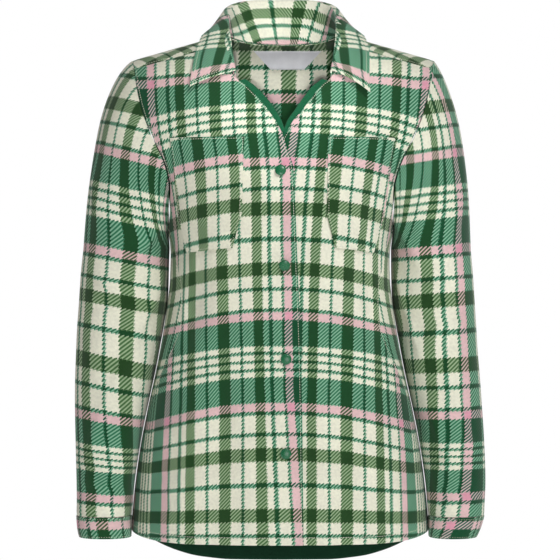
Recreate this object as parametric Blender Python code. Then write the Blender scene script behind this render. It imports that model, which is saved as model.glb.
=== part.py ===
"""Women's plaid fleece shirt jacket, closed with snaps and filled out as if worn.

Metres, +Z up, +X to the right of someone facing the jacket, so the front looks along -Y.
The origin is at the base of the neck, between the two high shoulder points.
Every cut piece is a thin wall. Its outer points come from one of three forms: the body,
whose level sections are superellipses that close over the shoulders, the sleeves, which
run from the armholes to the cuffs, and the collar, which turns over round the neck.
"right" and "left" in names are the wearer's.
"""
import math

import bmesh
import bpy
from mathutils import Vector

# Cloth and seams
WALL = 0.002
THIN_WALL = 0.0012
LABEL_WALL = 0.001
GAP = 0.0005
SEAM = 0.0006
SIDE_SEAM_TURN = SEAM / 2.0 / 0.15

# Body: lengths measured down from the base of the neck
FRONT_HEM = -0.637
SIDE_HEM = -0.627
BACK_HEM = -0.680
UNDERARM = -0.238
BACK_YOKE_SEAM = -0.100
SECTION_POWER = 2.4
BODY_ROWS = 14
FRONT_HEM_ROWS = 3
BACK_HEM_ROWS = 4

# Shoulders
NECK_HALF_WIDTH = 0.078
NECK_POINT_HEIGHT = 0.0195
SHOULDER_SLOPE = 0.285
SHOULDER_HALF_WIDTH = 0.193
NECK_SEAM_HEIGHT = 0.004
ARM_SEAM_HEIGHT = -0.027
ROWS_TILT_ABOVE = -0.080
FRONT_CLOSE_START, FRONT_CLOSE_POWER = -0.235, 2.2
BACK_CLOSE_START, BACK_CLOSE_POWER = -0.150, 3.0
UPPER_SHIFT = 0.004
UPPER_SHIFT_BELOW, UPPER_SHIFT_ABOVE = -0.30, -0.10
COLLAR_SHIFT = -0.002
COLLAR_SHIFT_SPAN = 0.05

# Front closing
LAP_DROP = 0.0026
LAP_FLAT, LAP_RISE = 0.036, 0.052
NECK_TOP = -0.043
SNAP_RADIUS = 0.0067
SNAP_HEIGHT = 0.0034
SNAP_PITCH = 0.1194
FIRST_SNAP = -0.163
SNAP_COUNT = 4
SNAP_INSET = 0.0195
SNAP_SEAT_SPAN = 0.004

# Sleeves and cuffs
SLEEVE_START = -0.262
CUFF_TOP = -0.606
CUFF_BOTTOM = -0.634
ARM_CLEARANCE = 0.0012
HEAD_CLEARANCE = 0.0026
HEAD_LEAVES = {"right": (0.82, -0.57), "left": (0.60, -0.80)}
LOW_HEAD_LEAVES = (0.25, -0.95)
HEAD_DROPS_BELOW = 0.15
HEAD_PULL = (0.6, 0.7)
HEAD_ARRIVES = (0.03, -1.0)
HEAD_ARRIVE_PULL = 0.9
SLEEVE_POWER = 2.2

# Level sections of the body: height, half width, depth of the front, depth of the back.
# Above the underarm the half width is that of the whole section, which the armhole cuts.
BODY = (
    (-0.690, 0.1970, 0.128, 0.125),
    (-0.627, 0.1945, 0.128, 0.123),
    (-0.585, 0.1912, 0.127, 0.120),
    (-0.525, 0.1835, 0.124, 0.114),
    (-0.472, 0.1735, 0.120, 0.108),
    (-0.426, 0.1635, 0.117, 0.102),
    (-0.380, 0.1545, 0.115, 0.098),
    (-0.330, 0.1470, 0.116, 0.096),
    (-0.300, 0.1438, 0.120, 0.098),
    (-0.270, 0.1432, 0.126, 0.102),
    (-0.255, 0.1442, 0.129, 0.105),
    (-0.238, 0.1475, 0.132, 0.107),
    (-0.220, 0.1510, 0.134, 0.109),
    (-0.191, 0.1590, 0.135, 0.111),
    (-0.155, 0.1800, 0.133, 0.112),
    (-0.090, 0.2280, 0.130, 0.114),
    (-0.030, 0.2800, 0.128, 0.115),
    (0.030, 0.3200, 0.126, 0.115),
)

# Soft folds that hang from the bust and the shoulder blades: distance out where one
# starts, distance out at the hem, height where it starts, half width, depth inwards
FRONT_FOLDS = (
    (0.070, 0.084, -0.290, 0.022, 0.0032),
    (0.104, 0.124, -0.320, 0.018, -0.0016),
)
BACK_FOLDS = (
    (0.000, 0.000, -0.260, 0.024, 0.0026),
    (0.058, 0.072, -0.280, 0.022, 0.0034),
    (0.094, 0.114, -0.320, 0.018, 0.0026),
)
FOLD_GROWS = 0.14

# Where the side seam lies, as an angle from the middle of the front: height, degrees
SIDE_SEAM = (
    (-0.640, 90.0),
    (-0.530, 86.0),
    (-0.470, 81.0),
    (-0.444, 76.0),
    (-0.420, 69.0),
    (-0.390, 61.0),
    (-0.355, 56.0),
    (-0.325, 58.0),
    (-0.300, 62.0),
    (-0.270, 69.0),
    (-0.238, 78.0),
)

# Armhole edge of the front and of the back: height, distance from the middle
FRONT_ARMHOLE = (
    (-0.238, 0.1470),
    (-0.215, 0.1440),
    (-0.185, 0.1435),
    (-0.155, 0.1500),
    (-0.122, 0.1655),
    (-0.089, 0.1790),
    (-0.055, 0.1880),
    (-0.027, 0.1930),
    (-0.014, 0.1965),
)
BACK_ARMHOLE = (
    (-0.238, 0.1470),
    (-0.215, 0.1475),
    (-0.185, 0.1510),
    (-0.155, 0.1580),
    (-0.120, 0.1710),
    (-0.089, 0.1815),
    (-0.050, 0.1910),
    (-0.014, 0.1965),
)

# Front edges: height, distance to the wearer's own side, negative past the middle
RIGHT_EDGE = (
    (-0.640, -0.0300),
    (-0.430, -0.0274),
    (-0.158, -0.0137),
    (-0.148, -0.0105),
    (-0.135, -0.0050),
    (-0.121, -0.0010),
    (-0.103, 0.0070),
    (-0.088, 0.0170),
    (-0.070, 0.0310),
    (-0.053, 0.0470),
    (-0.043, 0.0600),
    (-0.022, 0.0700),
    (-0.008, 0.0755),
    (0.004, 0.0780),
)
LEFT_EDGE = (
    (-0.640, -0.0150),
    (-0.430, -0.0176),
    (-0.158, -0.0180),
    (-0.145, -0.0120),
    (-0.130, -0.0050),
    (-0.112, 0.0050),
    (-0.098, 0.0130),
    (-0.088, 0.0220),
    (-0.070, 0.0350),
    (-0.053, 0.0480),
    (-0.043, 0.0605),
    (-0.022, 0.0700),
    (-0.008, 0.0755),
    (0.004, 0.0780),
)

# Upper edge of the yoke from the middle of the back: share, distance out, turn in degrees.
# The turn is 0 on the front at chest height, 90 on the shoulder ridge and 180 on the back.
YOKE_TOP = (
    (0.00, 0.0000, 112.4),
    (0.15, 0.0290, 111.0),
    (0.28, 0.0530, 106.5),
    (0.38, 0.0690, 98.0),
    (0.44, 0.0765, 86.0),
    (0.50, 0.0780, 71.6),
)

# Sleeve sections: height, inner side, outer side of the right, outer side of the left,
# half depth, middle of the depth
SLEEVE = (
    (-0.262, 0.1455, 0.2580, 0.2495, 0.0660, 0.0060),
    (-0.316, 0.1470, 0.2628, 0.2545, 0.0645, 0.0080),
    (-0.393, 0.1582, 0.2672, 0.2590, 0.0610, 0.0040),
    (-0.453, 0.1707, 0.2682, 0.2632, 0.0560, -0.0040),
    (-0.508, 0.1822, 0.2665, 0.2660, 0.0510, -0.0140),
    (-0.563, 0.1905, 0.2645, 0.2672, 0.0465, -0.0240),
    (-0.606, 0.1945, 0.2640, 0.2650, 0.0430, -0.0310),
)
CUFF = (
    (-0.6065, 0.1942, 0.2645, 0.2655, 0.0435, -0.0310),
    (-0.6200, 0.1945, 0.2635, 0.2615, 0.0430, -0.0320),
    (-0.6360, 0.1948, 0.2605, 0.2545, 0.0415, -0.0335),
)

# Soft creases at the elbow: height, part of the turn, half height, half part, depth
SLEEVE_FOLDS = (
    (-0.318, 0.30, 0.016, 0.17, 0.0026),
    (-0.352, 0.36, 0.018, 0.18, 0.0034),
    (-0.390, 0.30, 0.018, 0.16, 0.0028),
    (-0.335, 0.68, 0.018, 0.15, 0.0024),
    (-0.575, 0.25, 0.014, 0.22, 0.0020),
)

# Collar stations from the front end to the middle of the back.
# Roll: the crest of the turned edge. Edge: the free edge of the leaf, as distance out,
# turn in degrees and lift off the cloth below.
ROLL = (
    (0.00, 0.0600, -0.0900, -0.0330),
    (0.16, 0.0625, -0.0730, -0.0100),
    (0.34, 0.0665, -0.0420, 0.0210),
    (0.52, 0.0690, 0.0020, 0.0470),
    (0.68, 0.0640, 0.0400, 0.0640),
    (0.84, 0.0400, 0.0640, 0.0735),
    (1.00, 0.0000, 0.0720, 0.0750),
)
LEAF_EDGE = (
    (0.00, 0.1120, 42.5, 0.0120),
    (0.16, 0.1110, 58.0, 0.0070),
    (0.34, 0.1060, 76.0, 0.0055),
    (0.52, 0.1000, 96.0, 0.0050),
    (0.68, 0.0860, 112.0, 0.0050),
    (0.84, 0.0480, 124.0, 0.0050),
    (1.00, 0.0000, 128.0, 0.0050),
)
LEAF_TIP_SHIFT = {"right": (0.004, 1.5), "left": (-0.004, -1.5)}
ROLL_RADIUS = 0.0055
LEAF_TIP_SPAN = 0.3
NECK_FRONT_SHARE = 0.34
COLLAR_SEAM_LIFT = GAP + 0.0008
COLLAR_SEAM_INSET = 0.0006
STAND_SHARES = (0.0, 0.3, 0.6, 0.85)
LEAF_BULGE = 0.004
LEAF_STEPS = 6

# Patch pockets: inner edge and outer edge as height, distance out
POCKET_TOP = -0.120
POCKET_BOTTOM = -0.260
POCKET_CUT = -0.217
POCKETS = {
    "right": {"inner": 0.0495, "inner_low": 0.0600, "outer": 0.1430, "outer_low": 0.1240},
    "left": {"inner": 0.0570, "inner_low": 0.0690, "outer": 0.1420, "outer_low": 0.1240},
}
POCKET_SLANT = 0.006
POCKET_CORNER = 0.006
POCKET_GAP = 0.0010

# Neck facings: how far the strip shows past the edge at the top, and how far it runs under
FACING_SHOWS = 0.0095
FACING_UNDER = 0.014
FACING_GAP = 0.0012
FACING_BOTTOM = {"right": -0.113, "left": -0.140}
FACING_TOP = NECK_TOP - 0.002
FACING_SHOWS_LOW = 0.002
FACING_FULL_ABOVE = NECK_TOP - 0.03
FACING_TILT = 0.3

# Label
LABEL_TOP, LABEL_BOTTOM = 0.0050, -0.0190
LABEL_HALF_TOP, LABEL_HALF_BOTTOM = 0.0450, 0.0225
LABEL_MIDDLE = 0.006
LABEL_GAP = 0.0010

YOKE_FACING_BOTTOM = -0.125
YOKE_FACING_SHARE = 0.38
YOKE_FACING_GAP = 0.0016
YOKE_FACING_TURN = 2.0

# Colours, linear
FRONT_GREEN = (0.055, 0.130, 0.060)
BACK_GREEN = (0.040, 0.105, 0.050)
CREAM = (0.640, 0.610, 0.480)
FACING_GREEN = (0.010, 0.080, 0.040)
SNAP_GREEN = (0.008, 0.060, 0.032)
LABEL_GREY = (0.470, 0.470, 0.500)

SIDES = {"right": -1.0, "left": 1.0}


def read(table, key, column=1):
    """Value of a table's column at a key, on a smooth curve through its rows."""
    rows = sorted(table)
    keys = [row[0] for row in rows]
    values = [row[column] for row in rows]
    if key <= keys[0]:
        return values[0]
    if key >= keys[-1]:
        return values[-1]
    i = max(j for j in range(len(keys) - 1) if keys[j] <= key)
    slopes = [tangent(keys, values, j) for j in (i, i + 1)]
    span = keys[i + 1] - keys[i]
    t = (key - keys[i]) / span
    return (
        values[i] * (2 * t**3 - 3 * t**2 + 1)
        + slopes[0] * span * (t**3 - 2 * t**2 + t)
        + values[i + 1] * (3 * t**2 - 2 * t**3)
        + slopes[1] * span * (t**3 - t**2)
    )


def tangent(keys, values, i):
    """Slope at a row that never overshoots its neighbours."""
    if i == 0 or i == len(keys) - 1:
        return 0.0 if len(keys) < 3 else end_slope(keys, values, i)
    before = (values[i] - values[i - 1]) / (keys[i] - keys[i - 1])
    after = (values[i + 1] - values[i]) / (keys[i + 1] - keys[i])
    if before * after <= 0.0:
        return 0.0
    return 2.0 * before * after / (before + after)


def end_slope(keys, values, i):
    """Slope at the first or last row: that of the stretch beside it."""
    j = 0 if i == 0 else len(keys) - 2
    return (values[j + 1] - values[j]) / (keys[j + 1] - keys[j])


def blend(a, b, t):
    """Value between two numbers."""
    return a + (b - a) * t


def ease(low, high, value):
    """Smooth step from 0 at low to 1 at high."""
    t = min(max((value - low) / (high - low), 0.0), 1.0)
    return t * t * (3.0 - 2.0 * t)


def power(value, exponent):
    """Power of a number that rounding may leave just below zero."""
    return max(value, 0.0) ** exponent


def ridge(x):
    """Height of the shoulder ridge."""
    return NECK_POINT_HEIGHT - SHOULDER_SLOPE * max(abs(x) - NECK_HALF_WIDTH, 0.0)


def closing(x, z, start, exponent):
    """Share of its depth that the body keeps as it closes over the shoulder."""
    t = min(max((z - start) / (ridge(x) - start), 0.0), 1.0)
    return power(1.0 - t**exponent, 1.0 / exponent)


def depth_share(x, z):
    """Share of the middle's depth that a level section has at a distance from the middle."""
    half = read(BODY, z, 1)
    share = min(abs(x) / half, 1.0)
    return power(1.0 - share**SECTION_POWER, 1.0 / SECTION_POWER)


def hump(share):
    """Soft hump of height 1 that ends at a share of 1."""
    return max(1.0 - share * share, 0.0) ** 2


def fold_depth(folds, x, z):
    """How far the hanging folds press the cloth in at a distance out and a height."""
    depth = 0.0
    for x_start, x_hem, z_start, half_width, size in folds:
        fall = min(max((z_start - z) / (z_start - FRONT_HEM), 0.0), 1.0)
        middle = blend(x_start, x_hem, fall)
        grown = ease(0.0, FOLD_GROWS, z_start - z)
        depth += size * grown * hump((abs(x) - middle) / half_width)
    return depth


def front_point(x, z):
    """Point of the body's front at a distance from the middle and a height."""
    depth = read(BODY, z, 2) * depth_share(x, z)
    depth *= closing(x, z, FRONT_CLOSE_START, FRONT_CLOSE_POWER)
    return Vector((x, fold_depth(FRONT_FOLDS, x, z) - depth, z))


def back_point(x, z):
    """Point of the body's back at a distance from the middle and a height."""
    depth = read(BODY, z, 3) * depth_share(x, z)
    depth *= closing(x, z, BACK_CLOSE_START, BACK_CLOSE_POWER)
    return Vector((x, depth - fold_depth(BACK_FOLDS, x, z), z))


def section_angle(x, z):
    """Angle from the middle of the front or back at which a section reaches a distance."""
    half = read(BODY, z, 1)
    share = min(abs(x) / half, 1.0)
    return math.copysign(math.asin(share ** (SECTION_POWER / 2.0)), x)


def section_point(angle, z):
    """Point of a level section, by its angle from the middle of the front."""
    half = read(BODY, z, 1)
    out = math.copysign(power(abs(math.sin(angle)), 2.0 / SECTION_POWER), angle) * half
    if abs(angle) <= math.pi / 2.0:
        return front_point(out, z)
    return back_point(out, z)


def shoulder_height(x, turn):
    """Height on the shoulder by the turn over the ridge, in degrees."""
    front = turn <= 90.0
    start = FRONT_CLOSE_START if front else BACK_CLOSE_START
    exponent = FRONT_CLOSE_POWER if front else BACK_CLOSE_POWER
    rise = power(math.sin(math.radians(turn)), 2.0 / exponent)
    return start + (ridge(x) - start) * rise


def shoulder_point(x, turn):
    """Point of the shoulders by the turn over the ridge, in degrees."""
    z = shoulder_height(x, turn)
    front = turn <= 90.0
    exponent = FRONT_CLOSE_POWER if front else BACK_CLOSE_POWER
    depth = read(BODY, z, 2 if front else 3) * depth_share(x, z)
    y = depth * power(abs(math.cos(math.radians(turn))), 2.0 / exponent)
    return Vector((x, -y if front else y, z))


def turn_at(x, z, front=True):
    """Turn over the ridge, in degrees, at which the shoulders have a height."""
    start = FRONT_CLOSE_START if front else BACK_CLOSE_START
    exponent = FRONT_CLOSE_POWER if front else BACK_CLOSE_POWER
    rise = min(max((z - start) / (ridge(x) - start), 0.0), 1.0)
    turn = math.degrees(math.asin(rise ** (exponent / 2.0)))
    return turn if front else 180.0 - turn


def placed(point):
    """The upper body stands a little to the wearer's left of the hem."""
    shift = UPPER_SHIFT * ease(UPPER_SHIFT_BELOW, UPPER_SHIFT_ABOVE, point.z)
    shift += COLLAR_SHIFT * ease(NECK_SEAM_HEIGHT, NECK_SEAM_HEIGHT + COLLAR_SHIFT_SPAN, point.z)
    return Vector((point.x + shift, point.y, point.z))


def hem_height(angle):
    """Hem height round the body: level in front, high at the sides, longer behind."""
    side = abs(math.sin(angle))
    if abs(angle) <= math.pi / 2.0:
        return FRONT_HEM + (SIDE_HEM - FRONT_HEM) * side**6
    return BACK_HEM + (SIDE_HEM - BACK_HEM) * side**3


def grid_normals(grid, wrap):
    """Unit normal at each point of a grid of points."""
    rows = len(grid)
    columns = len(grid[0])
    normals = []
    for i in range(rows):
        line = []
        for j in range(columns):
            up = grid[min(i + 1, rows - 1)][j] - grid[max(i - 1, 0)][j]
            if wrap:
                along = grid[i][(j + 1) % columns] - grid[i][j - 1]
            else:
                along = grid[i][min(j + 1, columns - 1)] - grid[i][max(j - 1, 0)]
            line.append(along.cross(up).normalized())
        normals.append(line)
    return normals


def moved_out(grid, distance, wrap=False):
    """The grid's points moved along their normals."""
    normals = grid_normals(grid, wrap)
    return [
        [point + normal * distance for point, normal in zip(row, line)]
        for row, line in zip(grid, normals)
    ]


def paint(obj, name, colour, roughness):
    """Give an object its own plain material."""
    material = bpy.data.materials.new(name)
    material.use_nodes = True
    shader = material.node_tree.nodes["Principled BSDF"]
    shader.inputs["Base Color"].default_value = (*colour, 1.0)
    shader.inputs["Roughness"].default_value = roughness
    obj.data.materials.append(material)


def add_wall(name, grid, thickness, colour, wrap=False, roughness=0.9):
    """Closed wall whose outer face is a grid of points and whose inner face lies inside."""
    outer = [[placed(point) for point in row] for row in grid]
    inner = moved_out(outer, -thickness, wrap)
    mesh = bmesh.new()
    faces = [[[mesh.verts.new(p) for p in row] for row in layer] for layer in (outer, inner)]
    rows = len(grid)
    columns = len(grid[0])
    steps = columns if wrap else columns - 1
    for i in range(rows - 1):
        for j in range(steps):
            k = (j + 1) % columns
            top, under = faces
            mesh.faces.new((top[i][j], top[i][k], top[i + 1][k], top[i + 1][j]))
            mesh.faces.new((under[i][j], under[i + 1][j], under[i + 1][k], under[i][k]))
    for i in (0, rows - 1):
        for j in range(steps):
            k = (j + 1) % columns
            mesh.faces.new((faces[0][i][j], faces[0][i][k], faces[1][i][k], faces[1][i][j]))
    if not wrap:
        for j in (0, columns - 1):
            for i in range(rows - 1):
                mesh.faces.new(
                    (faces[0][i][j], faces[0][i + 1][j], faces[1][i + 1][j], faces[1][i][j])
                )
    bmesh.ops.recalc_face_normals(mesh, faces=mesh.faces)
    data = bpy.data.meshes.new(name)
    mesh.to_mesh(data)
    mesh.free()
    data.shade_smooth()
    data.set_sharp_from_angle(angle=math.radians(40.0))
    obj = bpy.data.objects.new(name, data)
    bpy.context.scene.collection.objects.link(obj)
    paint(obj, name, colour, roughness)
    return obj


def levels(low, high, count):
    """Evenly spaced values from low to high."""
    return [blend(low, high, i / (count - 1)) for i in range(count)]


def side_height(z):
    """Height at the armhole of the front row that starts at a height of its front edge."""
    if z <= ROWS_TILT_ABOVE:
        return z
    share = (z - ROWS_TILT_ABOVE) / (NECK_SEAM_HEIGHT - ROWS_TILT_ABOVE)
    return blend(ROWS_TILT_ABOVE, ARM_SEAM_HEIGHT, share)


def body_heights(top, chest_rows):
    """Heights of the rows of a body piece: up to the underarm, then up to its top."""
    return levels(SIDE_HEM, UNDERARM, BODY_ROWS) + levels(UNDERARM, top, chest_rows)[1:]


def front_grid(side, columns=15, chest_rows=14):
    """Outer points of a front: rows rise from the hem, columns run from its front edge."""
    sign = SIDES[side]
    edge = RIGHT_EDGE if side == "right" else LEFT_EDGE
    grid = []
    for number, z_edge in enumerate(body_heights(NECK_SEAM_HEIGHT - SEAM, chest_rows)):
        z_side = side_height(z_edge)
        x_edge = read(edge, z_edge)
        if z_edge <= UNDERARM:
            end = math.radians(read(SIDE_SEAM, z_side)) - SIDE_SEAM_TURN
        else:
            end = section_angle(read(FRONT_ARMHOLE, z_side), z_side)
        start = section_angle(x_edge, z_edge)
        row = []
        for j in range(columns):
            share = j / (columns - 1)
            angle = blend(start, end, share)
            z = blend(z_edge, z_side, share)
            if number == 0:
                z = hem_height(angle)
            elif number < FRONT_HEM_ROWS:
                bend = 1.0 - number / FRONT_HEM_ROWS
                z += (hem_height(angle) - SIDE_HEM) * bend
            point = section_point(angle, z)
            if z_edge > UNDERARM:
                x_side = read(FRONT_ARMHOLE, z_side)
                z = blend(z_edge, z_side, (point.x - x_edge) / (x_side - x_edge))
                point = front_point(point.x, z)
            if side == "left":
                flat = 1.0 - ease(LAP_FLAT, LAP_RISE, point.x)
                point.y += LAP_DROP * flat
            point.x *= sign
            row.append(point)
        grid.append(row if sign > 0 else row[::-1])
    return grid


def make_fronts():
    """The two front panels, the right one lapping over the left."""
    for side in SIDES:
        add_wall(f"front_{side}", front_grid(side), WALL, FRONT_GREEN)


def back_grid(columns=23, chest_rows=9):
    """Outer points of the back: rows rise from the hem, columns run right to left."""
    grid = []
    for number, level in enumerate(body_heights(BACK_YOKE_SEAM - SEAM / 2.0, chest_rows)):
        if level <= UNDERARM:
            reach = math.pi - math.radians(read(SIDE_SEAM, level)) - SIDE_SEAM_TURN
        else:
            reach = section_angle(read(BACK_ARMHOLE, level), level)
        row = []
        for j in range(columns):
            share = 1.0 - 2.0 * j / (columns - 1)
            from_middle = reach * share
            angle = math.copysign(math.pi - abs(from_middle), from_middle)
            z = level
            if number == 0:
                z = hem_height(angle)
            elif number < BACK_HEM_ROWS:
                bend = 1.0 - number / BACK_HEM_ROWS
                z += (hem_height(angle) - SIDE_HEM) * bend
            row.append(section_point(angle, z))
        grid.append(row)
    return grid


def yoke_column(share, inset=0.0):
    """Ends of a yoke column on the wearer's left: distance out and turn, low and high."""
    reach = read(BACK_ARMHOLE, BACK_YOKE_SEAM)
    low_x = reach * share
    low_turn = turn_at(low_x, BACK_YOKE_SEAM + SEAM / 2.0, front=False)
    if share <= 0.5:
        high_x = read(YOKE_TOP, share, 1)
        high_turn = read(YOKE_TOP, share, 2)
    else:
        t = (share - 0.5) * 2.0
        high_x = blend(NECK_HALF_WIDTH, SHOULDER_HALF_WIDTH, t)
        high_turn = turn_at(high_x, blend(NECK_SEAM_HEIGHT, ARM_SEAM_HEIGHT, t))
    return low_x, low_turn, high_x, high_turn + inset


def armhole_reach(turn):
    """Distance out of the armhole's edge at a turn over the ridge."""
    table = FRONT_ARMHOLE if turn <= 90.0 else BACK_ARMHOLE
    x = SHOULDER_HALF_WIDTH
    for _ in range(6):
        x = read(table, shoulder_height(x, turn))
    return x


def armhole_bow(up):
    """How far the yoke's side edge, at a share of its length, lies outside a straight one."""
    low_x, low_turn, high_x, high_turn = yoke_column(1.0)
    return armhole_reach(blend(low_turn, high_turn, up)) - blend(low_x, high_x, up)


def yoke_grid(columns=25, rows=13):
    """Outer points of the yoke: rows rise from the back seam over the shoulders."""
    grid = []
    for up in levels(0.0, 1.0, rows):
        bow = armhole_bow(up) if 0.0 < up < 1.0 else 0.0
        row = []
        for share in levels(1.0, -1.0, columns):
            low_x, low_turn, high_x, high_turn = yoke_column(abs(share))
            x = blend(low_x, high_x, up) + bow * max(abs(share) * 2.0 - 1.0, 0.0)
            point = shoulder_point(x, blend(low_turn, high_turn, up))
            point.x = math.copysign(point.x, share)
            row.append(point)
        grid.append(row)
    return grid


def make_back():
    """The back, the yoke over the shoulders and the facing inside it."""
    add_wall("back", back_grid(), WALL, BACK_GREEN)
    add_wall("yoke", yoke_grid(), WALL, FRONT_GREEN)
    add_wall("yoke_facing", yoke_facing_grid(), THIN_WALL, CREAM)


def yoke_facing_grid(columns=13, rows=8):
    """Outer points of the inner yoke, a wall's thickness inside the back."""
    grid = []
    for up in levels(0.0, 1.0, rows):
        row = []
        for across in levels(1.0, -1.0, columns):
            share = across * YOKE_FACING_SHARE
            low_x, _, high_x, high_turn = yoke_column(abs(share), inset=YOKE_FACING_TURN)
            low_turn = turn_at(low_x, YOKE_FACING_BOTTOM, front=False)
            x = blend(low_x, high_x, up)
            point = shoulder_point(x, blend(low_turn, high_turn, up))
            point.x = math.copysign(point.x, share)
            row.append(point)
        grid.append(row)
    return moved_out(grid, -WALL - YOKE_FACING_GAP)


def armhole_point(part):
    """Point of the armhole's edge on the left: 0 at the top, 0.25 in front, 0.5 below."""
    down = 0.5 - 0.5 * math.cos(2.0 * math.pi * part)
    z = blend(ridge(read(BACK_ARMHOLE, 0.0)), UNDERARM, down)
    if part <= 0.5:
        return front_point(read(FRONT_ARMHOLE, z), z)
    return back_point(read(BACK_ARMHOLE, z), z)


def sleeve_ring(table, side, z, part):
    """Point of a level sleeve section, drawn on the left, by the same part of the turn."""
    inner, half_depth, middle = (read(table, z, column) for column in (1, 4, 5))
    outer = read(table, z, 2 if side == "right" else 3)
    turn = 2.0 * math.pi * part
    across = math.copysign(power(abs(math.cos(turn)), 2.0 / SLEEVE_POWER), math.cos(turn))
    deep = math.copysign(power(abs(math.sin(turn)), 2.0 / SLEEVE_POWER), math.sin(turn))
    crease = 0.0
    for height, at, half_height, half_part, depth in SLEEVE_FOLDS:
        crease += depth * hump((z - height) / half_height) * hump((part - at) / half_part)
    x = (inner + outer) / 2.0 + ((outer - inner) / 2.0 - crease) * across
    return Vector((x, middle - (half_depth - crease) * deep, z))


def sleeve_head_point(side, part, along):
    """Point between the armhole and the first level section."""
    high = 0.5 + 0.5 * math.cos(2.0 * math.pi * part)
    clear = blend(ARM_CLEARANCE, HEAD_CLEARANCE, high)
    start = armhole_point(part) + Vector((clear, 0.0, 0.0))
    end = sleeve_ring(SLEEVE, side, SLEEVE_START, part)
    reach = (end - start).length
    out, down = HEAD_LEAVES[side]
    low_out, low_down = LOW_HEAD_LEAVES
    leave = Vector((blend(low_out, out, high), 0.0, blend(low_down, down, high)))
    if high < HEAD_DROPS_BELOW:
        leave = leave.lerp(Vector((0.0, 0.0, -1.0)), 1.0 - high / HEAD_DROPS_BELOW)
    leave = leave.normalized() * reach * blend(*HEAD_PULL, high)
    arrive = Vector((HEAD_ARRIVES[0], 0.0, HEAD_ARRIVES[1])) * reach * HEAD_ARRIVE_PULL
    t = along
    return (
        start * (2 * t**3 - 3 * t**2 + 1)
        + leave * (t**3 - 2 * t**2 + t)
        + end * (3 * t**2 - 2 * t**3)
        + arrive * (t**3 - t**2)
    )


def sleeve_grid(side, columns=24, head_rows=8, arm_rows=20):
    """Outer points of a sleeve, drawn on the left, in rings from the armhole to the cuff."""
    parts = [(j + 0.5) / columns for j in range(columns)]
    grid = []
    for i in range(head_rows):
        grid.append([sleeve_head_point(side, part, i / head_rows) for part in parts])
    for z in levels(SLEEVE_START, CUFF_TOP, arm_rows):
        grid.append([sleeve_ring(SLEEVE, side, z, part) for part in parts])
    return grid


def cuff_grid(side, columns=24, rows=4):
    """Outer points of a cuff, drawn on the left."""
    parts = [(j + 0.5) / columns for j in range(columns)]
    grid = []
    for z in levels(CUFF_TOP - SEAM, CUFF_BOTTOM, rows):
        grid.append([sleeve_ring(CUFF, side, z, part) for part in parts])
    return grid


def for_side(grid, side):
    """The left piece's points, mirrored for the right, with the normals still outwards."""
    if side == "left":
        return [row[::-1] for row in grid]
    return [[Vector((-p.x, p.y, p.z)) for p in row] for row in grid]


def make_sleeves():
    """Sleeves and cuffs. The rings run down, so mirroring keeps their faces outwards."""
    for side in SIDES:
        rings = for_side(sleeve_grid(side), side)[::-1]
        add_wall(f"sleeve_{side}", rings, WALL, BACK_GREEN, wrap=True)
        rings = for_side(cuff_grid(side), side)[::-1]
        add_wall(f"cuff_{side}", rings, WALL, CREAM, wrap=True)


def neck_point(station):
    """Point of the neck seam on the left: 0 at the front end, 1 at the middle of the back."""
    if station <= NECK_FRONT_SHARE:
        t = station / NECK_FRONT_SHARE
        z = blend(NECK_TOP, NECK_SEAM_HEIGHT, t)
        return front_point(read(LEFT_EDGE, z), z)
    share = 0.5 * (1.0 - (station - NECK_FRONT_SHARE) / (1.0 - NECK_FRONT_SHARE))
    return shoulder_point(read(YOKE_TOP, share, 1), read(YOKE_TOP, share, 2))


def leaf_end(station, side):
    """Point of the leaf's free edge, lifted off the shoulders and chest."""
    x = read(LEAF_EDGE, station, 1)
    turn = read(LEAF_EDGE, station, 2)
    lift = read(LEAF_EDGE, station, 3)
    tip = 1.0 - ease(0.0, LEAF_TIP_SPAN, station)
    x += LEAF_TIP_SHIFT[side][0] * tip
    turn += LEAF_TIP_SHIFT[side][1] * tip
    point = shoulder_point(x, turn)
    step = 0.001
    along = shoulder_point(x + step, turn) - point
    over = shoulder_point(x, turn + 1.0) - point
    normal = along.cross(over).normalized()
    return point + normal * (lift + WALL)


def collar_profile(station, side):
    """Points of one section of the collar, from the neck seam over the roll to the edge."""
    seam = neck_point(station)
    crest = Vector([read(ROLL, station, column) for column in (1, 2, 3)])
    edge = leaf_end(station, side)
    outward = Vector((edge.x - seam.x, edge.y - seam.y, 0.0)).normalized()
    seam = seam + Vector((0.0, 0.0, COLLAR_SEAM_LIFT)) - outward * COLLAR_SEAM_INSET
    rise = crest - seam
    points = [seam + rise * t for t in STAND_SHARES]
    top = seam + rise * 0.97 + outward * ROLL_RADIUS * 0.35
    over = top + outward * ROLL_RADIUS * 1.35 - Vector((0.0, 0.0, ROLL_RADIUS * 0.35))
    points += [top]
    bulge = over.lerp(edge, 0.45) + (outward + Vector((0.0, 0.0, 0.5))) * LEAF_BULGE
    for i in range(LEAF_STEPS + 1):
        t = i / LEAF_STEPS
        points.append(over * (1 - t) ** 2 + bulge * 2 * t * (1 - t) + edge * t**2)
    return points


def collar_grid(half=13):
    """Sections of the collar from the right front end round the back to the left one."""
    stations = [i / half for i in range(half + 1)]
    right = []
    for station in stations:
        profile = collar_profile(station, "right")
        right.append([Vector((-p.x, p.y, p.z)) for p in profile])
    left = [collar_profile(station, "left") for station in stations[:-1]]
    sections = right + left[::-1]
    return [list(row) for row in zip(*sections)]


def make_collar():
    """The collar, drawn as one wall from seam to free edge."""
    add_wall("collar", collar_grid(), WALL, CREAM)


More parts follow.
